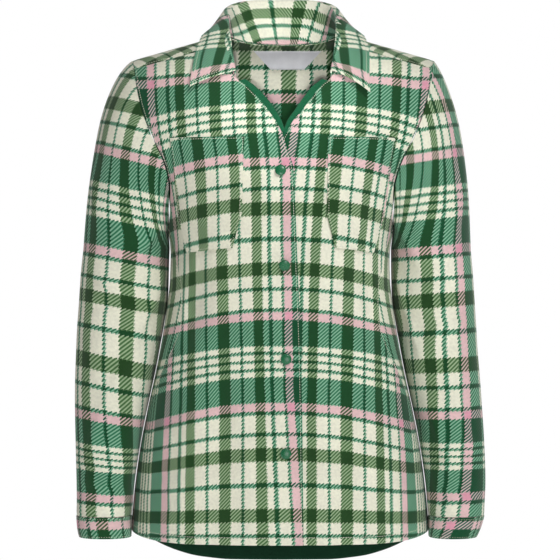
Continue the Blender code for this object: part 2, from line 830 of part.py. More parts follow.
def facing_grid(side, rows=12, columns=4):
    """Outer points of the strip that shows along one edge of the open neck."""
    sign = SIDES[side]
    edge = RIGHT_EDGE if side == "right" else LEFT_EDGE
    grid = []
    for z in levels(FACING_BOTTOM[side], FACING_TOP, rows):
        x = read(edge, z)
        full = ease(FACING_BOTTOM["left"], FACING_FULL_ABOVE, z)
        shows = blend(FACING_SHOWS_LOW, FACING_SHOWS, full)
        row = []
        for across in levels(-shows, FACING_UNDER, columns):
            point = front_point(x + across, z - FACING_TILT * across)
            if side == "left":
                point.y += LAP_DROP * (1.0 - ease(LAP_FLAT, LAP_RISE, point.x))
            point.x *= sign
            row.append(point)
        grid.append(row if sign > 0 else row[::-1])
    return moved_out(grid, -WALL - FACING_GAP)


def make_facings():
    """Dark strips inside the two edges of the open neck."""
    for side in SIDES:
        add_wall(f"facing_{side}", facing_grid(side), THIN_WALL, FACING_GREEN)


def pocket_grid(side, columns=9, rows=10):
    """Outer points of a patch pocket, a gap and a wall outside the front."""
    sign = SIDES[side]
    size = POCKETS[side]
    grid = []
    for z in levels(POCKET_BOTTOM, POCKET_TOP, rows):
        cut = max((POCKET_CUT - z) / (POCKET_CUT - POCKET_BOTTOM), 0.0)
        inner = blend(size["inner"], size["inner_low"], cut)
        taper = (POCKET_TOP - z) / (POCKET_TOP - POCKET_BOTTOM)
        outer = blend(size["outer"], size["outer_low"], taper) - POCKET_CORNER * cut
        row = []
        for j in range(columns):
            share = j / (columns - 1)
            low = POCKET_SLANT * share * taper
            point = front_point(blend(inner, outer, share), z - low)
            point.x *= sign
            row.append(point)
        grid.append(row if sign > 0 else row[::-1])
    return moved_out(grid, POCKET_GAP + WALL)


def make_pockets():
    """A patch pocket on each front."""
    for side in SIDES:
        add_wall(f"pocket_{side}", pocket_grid(side), WALL, FRONT_GREEN)


def label_grid(columns=7, rows=4):
    """Outer points of the label, inside the inner yoke."""
    grid = []
    for up in levels(0.0, 1.0, rows):
        half = blend(LABEL_HALF_BOTTOM, LABEL_HALF_TOP, up)
        z = blend(LABEL_BOTTOM, LABEL_TOP, up)
        row = [back_point(x, z) for x in levels(LABEL_MIDDLE + half, LABEL_MIDDLE - half, columns)]
        grid.append(row)
    return moved_out(grid, -WALL - YOKE_FACING_GAP - THIN_WALL - LABEL_GAP)


def make_snaps():
    """Domed caps down the lapped edge, each seated flat on the right front."""
    profile = [
        (0.0, SNAP_HEIGHT),
        (0.35, SNAP_HEIGHT * 0.93),
        (0.68, SNAP_HEIGHT * 0.72),
        (0.90, SNAP_HEIGHT * 0.40),
        (1.0, SNAP_HEIGHT * 0.12),
        (0.94, 0.0),
        (0.0, 0.0),
    ]
    for number in range(SNAP_COUNT):
        z = FIRST_SNAP - number * SNAP_PITCH
        x = -read(RIGHT_EDGE, z) - SNAP_INSET
        seat = placed(front_point(x, z))
        above = placed(front_point(x, z + SNAP_SEAT_SPAN))
        below = placed(front_point(x, z - SNAP_SEAT_SPAN))
        up = (above - below).normalized()
        out = Vector((0.0, -1.0, 0.0))
        out = (out - up * out.dot(up)).normalized()
        add_cap(f"snap_{number + 1}", profile, seat + out * GAP, up, out)


def add_cap(name, profile, seat, up, out, segments=20):
    """Turned cap from a profile of radius shares and heights off its seat."""
    across = up.cross(out)
    mesh = bmesh.new()
    rings = []
    for share, height in profile:
        if share == 0.0:
            rings.append([mesh.verts.new(seat + out * height)])
            continue
        ring = []
        for i in range(segments):
            turn = 2.0 * math.pi * i / segments
            radial = across * math.cos(turn) + up * math.sin(turn)
            ring.append(mesh.verts.new(seat + radial * SNAP_RADIUS * share + out * height))
        rings.append(ring)
    for first, second in zip(rings, rings[1:]):
        for i in range(segments):
            k = (i + 1) % segments
            corners = [first[i % len(first)], first[k % len(first)]]
            corners += [second[k % len(second)], second[i % len(second)]]
            mesh.faces.new(list(dict.fromkeys(corners)))
    bmesh.ops.recalc_face_normals(mesh, faces=mesh.faces)
    data = bpy.data.meshes.new(name)
    mesh.to_mesh(data)
    mesh.free()
    data.shade_smooth()
    obj = bpy.data.objects.new(name, data)
    bpy.context.scene.collection.objects.link(obj)
    paint(obj, name, SNAP_GREEN, 0.25)


def main():
    """Clear the scene and make every piece."""
    for obj in list(bpy.data.objects):
        bpy.data.objects.remove(obj)
    make_fronts()
    make_back()
    make_sleeves()
    make_collar()
    make_facings()
    make_pockets()
    make_snaps()
    add_wall("neck_label", label_grid(), LABEL_WALL, LABEL_GREY, roughness=0.5)


main()
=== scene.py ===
# %% [markdown]
# A women's shirt jacket in plaid fleece, closed with four snaps and filled out as if
# somebody wore it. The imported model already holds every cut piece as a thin, plain wall.
# This script draws each piece again on a finer grid from the same forms, so that the
# creases, the rounded edges and the plaid have points to sit on, and then sews it: rows
# of stitches, four glossy snaps and a blank woven label.
#
# Lengths are metres, +Z is up and the front looks along -Y. "right" and "left" are the
# wearer's own sides, so the right front is on the left of the picture.

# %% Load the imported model
import math

import bmesh
import bpy
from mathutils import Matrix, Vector, noise


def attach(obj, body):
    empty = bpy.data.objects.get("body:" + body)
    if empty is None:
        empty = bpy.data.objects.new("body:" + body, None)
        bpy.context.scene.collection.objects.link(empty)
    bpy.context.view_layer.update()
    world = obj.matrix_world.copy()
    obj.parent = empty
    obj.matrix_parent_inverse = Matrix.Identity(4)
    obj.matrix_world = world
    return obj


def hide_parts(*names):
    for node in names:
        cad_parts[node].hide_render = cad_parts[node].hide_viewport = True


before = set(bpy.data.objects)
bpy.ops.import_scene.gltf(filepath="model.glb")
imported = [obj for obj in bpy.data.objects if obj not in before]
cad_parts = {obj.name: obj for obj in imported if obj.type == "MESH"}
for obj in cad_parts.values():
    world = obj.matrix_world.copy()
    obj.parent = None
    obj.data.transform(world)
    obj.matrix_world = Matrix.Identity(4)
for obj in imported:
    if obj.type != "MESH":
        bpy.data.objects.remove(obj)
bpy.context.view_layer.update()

print("nodes:", ", ".join(sorted(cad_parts)))

# %% [markdown]
# The photograph is taken straight from the front with a long lens, so the camera stands
# 3.6 m away, level with the middle of the jacket, and shows 734 mm of it from top to
# bottom. A long lens keeps the sleeves from looking narrower than the chest.

# %% Camera
CAMERA_DISTANCE = 3.6
CAMERA_HEIGHT = -0.3013
VIEW_HEIGHT = 0.7336
SENSOR = 36.0

camera_data = bpy.data.cameras.new("camera")
camera_data.sensor_width = SENSOR
camera_data.lens = SENSOR * CAMERA_DISTANCE / VIEW_HEIGHT
camera = bpy.data.objects.new("camera", camera_data)
bpy.context.scene.collection.objects.link(camera)
camera.location = (0.0, -CAMERA_DISTANCE, CAMERA_HEIGHT)
camera.rotation_euler = (math.pi / 2.0, 0.0, 0.0)
bpy.context.scene.camera = camera
print(f"lens {camera_data.lens:.1f} mm")

# %% [markdown]
# A shop photograph of clothes is lit softly but not evenly. Here the key light stands high
# on the viewer's right, a weak box fills in under it, one stands beside the camera, and one
# behind picks out the edges. A narrow snoot opens up the dark neck. The floor is pale and
# far enough below the hem for legs to fit, as it would be under a wearer.

# %% Floor and studio light
FLOOR_HEIGHT = -1.45
FLOOR_REACH = 7.3
FLOOR_GLOW = 0.60
WALLS_SEEN = 1.0
WALLS_LIGHT = 0.13
WHITE = (1.0, 1.0, 1.0, 1.0)
AIM = (0.0, 0.0, -0.30)
# Place, the point it looks at, width and watts of each soft box
SOFT_BOXES = {
    "key": ((0.8, -2.2, 1.7), AIM, 0.5, 47.5),
    "fill": ((1.9, -2.4, 0.3), AIM, 1.4, 7.0),
    "beside_camera": ((0.3, -3.2, -0.30), (0.0, 0.0, -0.1), 0.8, 13.0),
    "behind": ((0.7, 2.8, 0.9), AIM, 1.4, 22.0),
}
SNOOT_PLACE, SNOOT_AIM, SNOOT_WATTS = (0.0, -2.6, -0.28), (0.005, 0.09, -0.015), 520.0
SNOOT_BEAM = {"spot_size": math.radians(3.6), "spot_blend": 0.9, "shadow_soft_size": 0.12}


def hex_colour(text):
    """Linear colour of an sRGB hex value such as "E6E1CF"."""
    channels = [int(text[i:i + 2], 16) / 255.0 for i in (0, 2, 4)]
    return tuple(c / 12.92 if c <= 0.04045 else ((c + 0.055) / 1.055) ** 2.4 for c in channels)


def add_object(name, data):
    """Put an object with its data into the scene."""
    made = bpy.data.objects.new(name, data)
    bpy.context.scene.collection.objects.link(made)
    return made


def set_inputs(node, inputs):
    """Set inputs of a node, each to a value or to another node's output."""
    for name, value in inputs.items():
        if isinstance(value, bpy.types.NodeSocket):
            node.id_data.links.new(value, node.inputs[name])
        else:
            node.inputs[name].default_value = value


def add_node(tree, kind, settings=None, inputs=None):
    """Add a node with its settings and its inputs."""
    new = tree.nodes.new(kind)
    for name, value in (settings or {}).items():
        setattr(new, name, value)
    set_inputs(new, inputs or {})
    return new


def new_material(name):
    """A material with only its shader and output, and the shader."""
    material = bpy.data.materials.new(name)
    material.use_nodes = True
    return material, material.node_tree.nodes["Principled BSDF"]


def make_floor():
    """Wide pale floor in matt paint."""
    mesh = bpy.data.meshes.new("floor")
    corners = [(-1.0, -1.0), (1.0, -1.0), (1.0, 1.0), (-1.0, 1.0)]
    corners = [(x * FLOOR_REACH, y * FLOOR_REACH, FLOOR_HEIGHT) for x, y in corners]
    mesh.from_pydata(corners, [], [(0, 1, 2, 3)])
    material, shader = new_material("matt_white_paint")
    set_inputs(shader, {"Base Color": (*hex_colour("F2F2F0"), 1.0), "Roughness": 0.9})
    set_inputs(shader, {"Emission Color": WHITE, "Emission Strength": FLOOR_GLOW})
    mesh.materials.append(material)
    add_object("floor", mesh)


def add_lamp(name, kind, place, target, watts, settings):
    """Light that looks at a point."""
    data = bpy.data.lights.new(name, kind)
    data.energy = watts
    for setting, value in settings.items():
        setattr(data, setting, value)
    lamp = add_object(name, data)
    lamp.location = place
    lamp.rotation_euler = (Vector(target) - Vector(place)).to_track_quat("-Z", "Y").to_euler()


def light_studio():
    """White surroundings, the soft boxes and the snoot."""
    world = bpy.data.worlds.new("studio")
    world.use_nodes = True
    bpy.context.scene.world = world
    tree = world.node_tree
    seen = add_node(tree, "ShaderNodeLightPath").outputs["Is Camera Ray"]
    span = {0: seen, 3: WALLS_LIGHT, 4: WALLS_SEEN}
    strength = add_node(tree, "ShaderNodeMapRange", inputs=span).outputs[0]
    set_inputs(tree.nodes["Background"], {"Color": WHITE, "Strength": strength})
    for name, (place, target, size, watts) in SOFT_BOXES.items():
        add_lamp(name, "AREA", place, target, watts, {"shape": "SQUARE", "size": size})
    add_lamp("neck_light", "SPOT", SNOOT_PLACE, SNOOT_AIM, SNOOT_WATTS, SNOOT_BEAM)


make_floor()
light_studio()
bpy.context.scene.view_settings.view_transform = "Standard"
print("floor at", FLOOR_HEIGHT)

# %% [markdown]
# A garment that is filled out by a body has a few ruling forms. Level cuts through the
# trunk are superellipses, rounder than a box and fuller than an ellipse, which close
# over the shoulders. The tables give those cuts, and the curves between their rows are
# read with slopes that never overshoot, so that no wave appears between two rows.

# %% Driving sizes
WALL = 0.002
THIN_WALL = 0.0012
LABEL_WALL = 0.001
GAP = 0.0005
SEAM = 0.0006
FRONT_HEM = -0.637
SIDE_HEM = -0.627
BACK_HEM = -0.680
UNDERARM = -0.238
BACK_YOKE_SEAM = -0.100
SECTION_POWER = 2.4
NECK_HALF_WIDTH = 0.078
NECK_POINT_HEIGHT = 0.0195
SHOULDER_SLOPE = 0.285
SHOULDER_HALF_WIDTH = 0.193
NECK_SEAM_HEIGHT = 0.004
ARM_SEAM_HEIGHT = -0.027
# How each half closes over the shoulder: from which height, by which power; column in BODY
CLOSING = {"front": (-0.235, 2.2, 2), "back": (-0.150, 3.0, 3)}
UPPER_SHIFT = 0.004
UPPER_SHIFT_SPAN = (-0.30, -0.10)
COLLAR_SHIFT = -0.002
COLLAR_SHIFT_SPAN = (NECK_SEAM_HEIGHT, NECK_SEAM_HEIGHT + 0.05)
# Half a side seam, as an angle at the body's usual radius there
SIDE_RADIUS = 0.15
SEAM_ANGLE = SEAM / 2.0 / SIDE_RADIUS
LAP_DROP = 0.0026
LAP_FLAT, LAP_RISE = 0.036, 0.052
NECK_TOP = -0.043
SIDES = {"right": -1.0, "left": 1.0}
UP = Vector((0.0, 0.0, 1.0))

# Level cuts of the body: height, half width, depth of the front, depth of the back
BODY = (
    (-0.690, 0.1970, 0.128, 0.125), (-0.627, 0.1945, 0.128, 0.123),
    (-0.585, 0.1912, 0.127, 0.120), (-0.525, 0.1835, 0.124, 0.114),
    (-0.472, 0.1735, 0.120, 0.108), (-0.426, 0.1635, 0.117, 0.102),
    (-0.380, 0.1545, 0.115, 0.098), (-0.330, 0.1470, 0.116, 0.096),
    (-0.300, 0.1438, 0.120, 0.098), (-0.270, 0.1432, 0.126, 0.102),
    (-0.255, 0.1442, 0.129, 0.105), (-0.238, 0.1475, 0.132, 0.107),
    (-0.220, 0.1510, 0.134, 0.109), (-0.191, 0.1590, 0.135, 0.111),
    (-0.155, 0.1800, 0.133, 0.112), (-0.090, 0.2280, 0.130, 0.114),
    (-0.030, 0.2800, 0.128, 0.115), (0.030, 0.3200, 0.126, 0.115),
)

# Hanging folds: distance out at the top, at the hem, top, half width, depth inwards
FRONT_FOLDS = (
    (0.070, 0.084, -0.290, 0.022, 0.0032), (0.104, 0.124, -0.320, 0.018, -0.0016),
)
BACK_FOLDS = (
    (0.000, 0.000, -0.260, 0.024, 0.0026), (0.058, 0.072, -0.280, 0.022, 0.0034),
    (0.094, 0.114, -0.320, 0.018, 0.0026),
)
FOLD_GROWS = 0.14

# Side seam: height, angle from the middle of the front in degrees
SIDE_SEAM = (
    (-0.640, 90.0), (-0.530, 86.0), (-0.470, 81.0), (-0.444, 76.0), (-0.420, 69.0),
    (-0.390, 61.0), (-0.355, 56.0), (-0.325, 58.0), (-0.300, 62.0), (-0.270, 69.0),
    (-0.238, 78.0),
)

# Armhole edges: height, distance from the middle
FRONT_ARMHOLE = (
    (-0.238, 0.1470), (-0.215, 0.1440), (-0.185, 0.1435), (-0.155, 0.1500), (-0.122, 0.1655),
    (-0.089, 0.1790), (-0.055, 0.1880), (-0.027, 0.1930), (-0.014, 0.1965),
)
BACK_ARMHOLE = (
    (-0.238, 0.1470), (-0.215, 0.1475), (-0.185, 0.1510), (-0.155, 0.1580), (-0.120, 0.1710),
    (-0.089, 0.1815), (-0.050, 0.1910), (-0.014, 0.1965),
)

# Front edges: height, distance to the wearer's own side, negative past the middle
RIGHT_EDGE = (
    (-0.640, -0.0300), (-0.430, -0.0274), (-0.158, -0.0137), (-0.148, -0.0105),
    (-0.135, -0.0050), (-0.121, -0.0010), (-0.103, 0.0070), (-0.088, 0.0170),
    (-0.070, 0.0310), (-0.053, 0.0470), (-0.043, 0.0600), (-0.022, 0.0700), (-0.008, 0.0755),
    (0.004, 0.0780),
)
LEFT_EDGE = (
    (-0.640, -0.0150), (-0.430, -0.0176), (-0.158, -0.0180), (-0.145, -0.0120),
    (-0.130, -0.0050), (-0.112, 0.0050), (-0.098, 0.0130), (-0.088, 0.0220), (-0.070, 0.0350),
    (-0.053, 0.0480), (-0.043, 0.0605), (-0.022, 0.0700), (-0.008, 0.0755), (0.004, 0.0780),
)
EDGES = {"right": RIGHT_EDGE, "left": LEFT_EDGE}
print(len(BODY), "cuts through the body")

# %% Reading the tables


def slope_after(keys, values, i):
    """Slope of the straight line from a row to the next one."""
    return (values[i + 1] - values[i]) / (keys[i + 1] - keys[i])


def tangent(keys, values, i):
    """Slope at a row that never overshoots its neighbours."""
    if i in (0, len(keys) - 1):
        return slope_after(keys, values, max(i - 1, 0))
    before, after = slope_after(keys, values, i - 1), slope_after(keys, values, i)
    if before * after <= 0.0:
        return 0.0
    return 2.0 * before * after / (before + after)


def hermite(start, leave, end, arrive, t):
    """Value between two numbers or points that leaves and arrives with given slopes."""
    return (
        start * (2 * t**3 - 3 * t**2 + 1)
        + leave * (t**3 - 2 * t**2 + t)
        + end * (3 * t**2 - 2 * t**3)
        + arrive * (t**3 - t**2)
    )


def read(table, key, column=1):
    """Value of a table's column at a key, on a smooth curve through its rows."""
    rows = sorted(table)
    keys = [row[0] for row in rows]
    values = [row[column] for row in rows]
    if key <= keys[0]:
        return values[0]
    if key >= keys[-1]:
        return values[-1]
    i = max(j for j in range(len(keys) - 1) if keys[j] <= key)
    span = keys[i + 1] - keys[i]
    leave, arrive = (tangent(keys, values, j) * span for j in (i, i + 1))
    return hermite(values[i], leave, values[i + 1], arrive, (key - keys[i]) / span)


def blend(a, b, t):
    """Value between two numbers."""
    return a + (b - a) * t


def clamped(value):
    """Number held between 0 and 1."""
    return min(max(value, 0.0), 1.0)


def ease(low, high, value):
    """Smooth step from 0 at low to 1 at high."""
    t = clamped((value - low) / (high - low))
    return t * t * (3.0 - 2.0 * t)


def power(value, exponent):
    """Power of a number that rounding may leave just below zero."""
    return max(value, 0.0) ** exponent


def signed_power(value, exponent):
    """Power of a number's size, with the number's sign."""
    return math.copysign(power(abs(value), exponent), value)


def levels(low, high, count):
    """Evenly spaced values from low to high."""
    return [blend(low, high, i / (count - 1)) for i in range(count)]


print("half width at the waist:", round(read(BODY, -0.30), 4))

# %% The form of the body


def ridge(x):
    """Height of the shoulder ridge."""
    return NECK_POINT_HEIGHT - SHOULDER_SLOPE * max(abs(x) - NECK_HALF_WIDTH, 0.0)


def half_of(turn):
    """Which half of the body a turn over the shoulder ridge, in degrees, lies on."""
    return "front" if turn <= 90.0 else "back"


def depth_share(x, z):
    """Share of the middle's depth that a level cut has at a distance from the middle."""
    share = min(abs(x) / read(BODY, z), 1.0)
    return power(1.0 - share**SECTION_POWER, 1.0 / SECTION_POWER)


def body_depth(half, x, z):
    """Depth of the front or the back, less as it closes over the shoulder."""
    start, exponent, column = CLOSING[half]
    risen = clamped((z - start) / (ridge(x) - start))
    kept = power(1.0 - risen**exponent, 1.0 / exponent)
    return read(BODY, z, column) * depth_share(x, z) * kept


def hump(share):
    """Soft hump of height 1 that ends at a share of 1."""
    return max(1.0 - share * share, 0.0) ** 2


def fold_depth(folds, x, z):
    """How far the hanging folds press the cloth in."""
    depth = 0.0
    for x_start, x_hem, z_start, half_width, size in folds:
        middle = blend(x_start, x_hem, clamped((z_start - z) / (z_start - FRONT_HEM)))
        grown = ease(0.0, FOLD_GROWS, z_start - z)
        depth += size * grown * hump((abs(x) - middle) / half_width)
    return depth


def front_point(x, z):
    """Point of the body's front at a distance from the middle and a height."""
    return Vector((x, fold_depth(FRONT_FOLDS, x, z) - body_depth("front", x, z), z))


def back_point(x, z):
    """Point of the body's back at a distance from the middle and a height."""
    return Vector((x, body_depth("back", x, z) - fold_depth(BACK_FOLDS, x, z), z))


def section_angle(x, z):
    """Angle from the middle at which a level cut reaches a distance."""
    share = min(abs(x) / read(BODY, z), 1.0)
    return math.copysign(math.asin(share ** (SECTION_POWER / 2.0)), x)


def section_point(angle, z):
    """Point of a level cut, by its angle from the middle of the front."""
    out = signed_power(math.sin(angle), 2.0 / SECTION_POWER) * read(BODY, z)
    return front_point(out, z) if abs(angle) <= math.pi / 2.0 else back_point(out, z)


def shoulder_height(x, turn):
    """Height on the shoulder by the turn over the ridge, in degrees."""
    start, exponent, _ = CLOSING[half_of(turn)]
    return start + (ridge(x) - start) * power(math.sin(math.radians(turn)), 2.0 / exponent)


def shoulder_point(x, turn):
    """Point of the shoulders by the turn over the ridge, in degrees."""
    _, exponent, column = CLOSING[half_of(turn)]
    z = shoulder_height(x, turn)
    deep = signed_power(math.cos(math.radians(turn)), 2.0 / exponent)
    return Vector((x, -read(BODY, z, column) * depth_share(x, z) * deep, z))


def turn_at(half, x, z):
    """Turn over the ridge, in degrees, at which one half's shoulder has a height."""
    start, exponent, _ = CLOSING[half]
    risen = clamped((z - start) / (ridge(x) - start))
    turn = math.degrees(math.asin(risen ** (exponent / 2.0)))
    return turn if half == "front" else 180.0 - turn


def placed(point):
    """The upper body stands a little to the wearer's left of the hem."""
    shift = UPPER_SHIFT * ease(*UPPER_SHIFT_SPAN, point.z)
    shift += COLLAR_SHIFT * ease(*COLLAR_SHIFT_SPAN, point.z)
    return Vector((point.x + shift, point.y, point.z))


def all_placed(grid):
    """Every point of a grid in its place on the jacket."""
    return [[placed(point) for point in row] for row in grid]


def hem_height(angle):
    """Hem height round the body: level in front, high at the sides, longer behind."""
    side = abs(math.sin(angle))
    if abs(angle) <= math.pi / 2.0:
        return FRONT_HEM + (SIDE_HEM - FRONT_HEM) * side**6
    return BACK_HEM + (SIDE_HEM - BACK_HEM) * side**3


print("shoulder ridge at the arm:", round(ridge(SHOULDER_HALF_WIDTH), 4))

# %% [markdown]
# Creases are what tells thick, soft cloth from card. In real fleece they are wide and
# shallow, with one side steeper than the other and a depth that comes and goes. Each is
# a line between two places with a half width and a depth, and the cloth is pressed in
# along it, or lifted where the depth is negative. A slow noise keeps it uneven. They
# run where the wearer's body pulls: from the bust, the armhole and the waist.

# %% Creases of the body
# From x and z, to x and z, half width, depth inwards (millimetres for the last two)
FRONT_CREASES = (
    (-0.098, -0.262, -0.118, -0.400, 15, 3.6), (-0.076, -0.280, -0.082, -0.372, 12, -1.8),
    (-0.124, -0.330, -0.088, -0.360, 12, 2.4), (-0.066, -0.440, -0.058, -0.625, 17, 2.6),
    (-0.040, -0.500, -0.030, -0.640, 13, -1.4), (-0.118, -0.470, -0.132, -0.600, 15, -2.0),
    (-0.030, -0.395, -0.062, -0.430, 12, 1.6), (0.100, -0.255, 0.124, -0.385, 14, 3.4),
    (0.080, -0.290, 0.090, -0.380, 12, -1.6), (0.122, -0.345, 0.086, -0.372, 12, 2.2),
    (0.070, -0.430, 0.098, -0.610, 17, 2.4), (0.118, -0.440, 0.146, -0.590, 15, -2.0),
    (0.028, -0.480, 0.036, -0.630, 15, 1.6), (0.022, -0.300, 0.050, -0.325, 12, 1.4),
    (-0.150, -0.110, -0.122, -0.190, 11, 2.2), (0.152, -0.106, 0.124, -0.186, 11, 2.2),
    (-0.055, -0.075, -0.034, -0.150, 13, 2.0), (0.056, -0.080, 0.030, -0.150, 13, 1.8),
    (-0.100, -0.240, -0.050, -0.252, 12, -1.6), (0.104, -0.236, 0.056, -0.250, 12, -1.4),
)
BACK_CREASES = (
    (-0.110, -0.160, -0.080, -0.300, 17, 3.0), (0.112, -0.165, 0.078, -0.310, 17, 2.8),
    (-0.124, -0.320, -0.060, -0.345, 13, 2.6), (0.126, -0.330, 0.050, -0.352, 13, 2.4),
    (-0.070, -0.372, 0.020, -0.384, 12, 1.8), (0.030, -0.300, 0.092, -0.312, 11, -1.4),
    (-0.030, -0.400, -0.044, -0.640, 18, 2.8), (0.040, -0.420, 0.064, -0.650, 18, 2.6),
    (-0.120, -0.440, -0.140, -0.600, 16, -2.2), (0.124, -0.430, 0.142, -0.600, 16, -2.0),
    (-0.010, -0.130, -0.020, -0.260, 15, 1.6), (0.045, -0.180, 0.060, -0.270, 14, -1.4),
)
BACK_CREASES_END = (-0.030, 0.020)
FLAT_BY_SEAM = 0.012
UNDERARM_STEP = 0.003
CREASE_GAIN = 1.35
CREASE_LEAN = 0.35
CREASE_PAST_ENDS = 0.25
CREASE_GROWS, CREASE_FADES = (-0.2, 0.3), (0.7, 1.2)
UNEVEN_SCALE = 26.0
UNEVEN_SHARE = 0.55
SURFACE_WAVE = 0.0007
SURFACE_WAVE_SCALE = 17.0


def crease_depth(crease, x, z, uneven_at):
    """How far one crease presses the cloth in; its noise is read at uneven_at."""
    x1, z1, x2, z2, half_mm, depth_mm = crease
    run = Vector((x2 - x1, z2 - z1))
    offset = Vector((x - x1, z - z1))
    along = offset.dot(run) / run.length_squared
    share = (offset.x * run.y - offset.y * run.x) / run.length / (half_mm / 1000.0)
    if abs(share) > 1.0 or not -CREASE_PAST_ENDS < along < 1.0 + CREASE_PAST_ENDS:
        return 0.0
    uneven = 1.0 + UNEVEN_SHARE * noise.noise(Vector(uneven_at))
    ends = ease(*CREASE_GROWS, along) * (1.0 - ease(*CREASE_FADES, along))
    steeper = hump(share) * (1.0 + CREASE_LEAN * share)
    return CREASE_GAIN * depth_mm / 1000.0 * uneven * steeper * ends


def press(creases, x, z):
    """How far the creases press the cloth in at a place on the front or the back."""
    depth = SURFACE_WAVE * noise.noise(Vector((x, 0.3, z)) * SURFACE_WAVE_SCALE)
    for crease in creases:
        uneven_at = Vector((x, z, crease[-1])) * UNEVEN_SCALE
        depth += crease_depth(crease, x, z, uneven_at)
    return depth


def facing_share(x, z, depth_column):
    """How squarely the body faces the front or the back at a place, from 0 to 1."""
    half = read(BODY, z, 1)
    share = min(abs(x) / half, 0.999)
    rest = power(1.0 - share**SECTION_POWER, 1.0 / SECTION_POWER)
    slope = read(BODY, z, depth_column) / half * (share / rest) ** (SECTION_POWER - 1.0)
    return 1.0 / math.sqrt(1.0 + slope * slope)


def seam_share(x, z):
    """Share of a crease that is left near the side seam: none on it."""
    if z > UNDERARM:
        return 1.0
    turn = math.sin(math.radians(read(SIDE_SEAM, z)))
    seam = read(BODY, z, 1) * power(turn, 2.0 / SECTION_POWER)
    return ease(0.0, FLAT_BY_SEAM, abs(abs(x) - seam))


def creased(grid, creases, away=1.0):
    """Copy of a grid, pressed in along Y; away is -1 on the back, whose inside is forward."""
    column = 2 if away > 0 else 3
    pressed = []
    for row in grid:
        line = []
        for point in row:
            x, z = point.x, point.z
            depth = press(creases, x, z) * facing_share(x, z, column)
            depth *= ease(*BACK_CREASES_END, point.y) if away < 0 else seam_share(x, z)
            line.append(point + Vector((0.0, away * depth, 0.0)))
        pressed.append(line)
    return pressed


print("creases:", len(FRONT_CREASES), "in front,", len(BACK_CREASES), "behind")

# %% [markdown]
# Every piece is a closed wall. Its outer points come from a form, its inner ones lie a
# wall's thickness inside, and near a cut edge both faces sink towards the middle of the
# wall. That rounds the edge, and where two pieces meet it leaves the soft groove that a
# seam in thick fleece has. The points stand closer together near the edges for it.
#
# Each corner also gets a place in the flat cloth, in metres, in a UV map named "cloth".
# The plaid is printed from it, so it bends and hangs with the piece.

# %% Walls with rounded edges
EDGE_STEPS = (0.0, 0.0020, 0.0055, 0.0100, 0.0145)
EDGE_ZONE = 0.021
ROUND_REACH = 0.0013
ROUND_SHARE = 0.40
SEWN_AT = 0.0024
SEWN_HALF_WIDTH = 0.0013
SEWN_DENT = 0.00045


def spread(count):
    """Shares from 0 to 1, closer together near both ends."""
    middle = levels(EDGE_ZONE, 1.0 - EDGE_ZONE, count)
    return list(EDGE_STEPS) + middle + [1.0 - step for step in EDGE_STEPS[::-1]]


def grid_normals(grid, wrap):
    """Unit normal at each point of a grid of points."""
    rows = len(grid)
    columns = len(grid[0])
    normals = []
    for i in range(rows):
        line = []
        for j in range(columns):
            up = grid[min(i + 1, rows - 1)][j] - grid[max(i - 1, 0)][j]
            if wrap:
                along = grid[i][(j + 1) % columns] - grid[i][j - 1]
            else:
                along = grid[i][min(j + 1, columns - 1)] - grid[i][max(j - 1, 0)]
            line.append(along.cross(up).normalized())
        normals.append(line)
    return normals


def moved_out(grid, distance, wrap=False):
    """The grid's points moved along their normals."""
    normals = grid_normals(grid, wrap)
    return [
        [point + normal * distance for point, normal in zip(row, line)]
        for row, line in zip(grid, normals)
    ]


def run_lengths(points):
    """Distance along a row of points to each of them."""
    total = 0.0
    lengths = [0.0]
    for a, b in zip(points, points[1:]):
        total += (b - a).length
        lengths.append(total)
    return lengths


def edge_distances(grid, wrap):
    """Distance from each point to the nearest cut edge of its piece."""
    across = [run_lengths(row) for row in grid]
    upward = [run_lengths(column) for column in zip(*grid)]
    distances = []
    for i, row in enumerate(grid):
        line = []
        for j in range(len(row)):
            up = upward[j][i]
            nearest = min(up, upward[j][-1] - up)
            if not wrap:
                side = across[i][j]
                nearest = min(nearest, side, across[i][-1] - side)
            line.append(nearest)
        distances.append(line)
    return distances


def sunk(distance, thickness):
    """How far a face sinks near a cut edge: round the edge, and under the stitches."""
    near = max(1.0 - distance / ROUND_REACH, 0.0)
    dent = SEWN_DENT * hump((distance - SEWN_AT) / SEWN_HALF_WIDTH) * thickness / WALL
    return ROUND_SHARE * thickness * (1.0 - math.sqrt(max(1.0 - near * near, 0.0))) + dent


def surface_area(grid, wrap):
    """Area of the outer face."""
    total = 0.0
    for i in range(len(grid) - 1):
        low, high = grid[i], grid[i + 1]
        for j in range(len(low) - (0 if wrap else 1)):
            k = (j + 1) % len(low)
            total += 0.5 * (high[k] - low[j]).cross(high[j] - low[k]).length
    return total


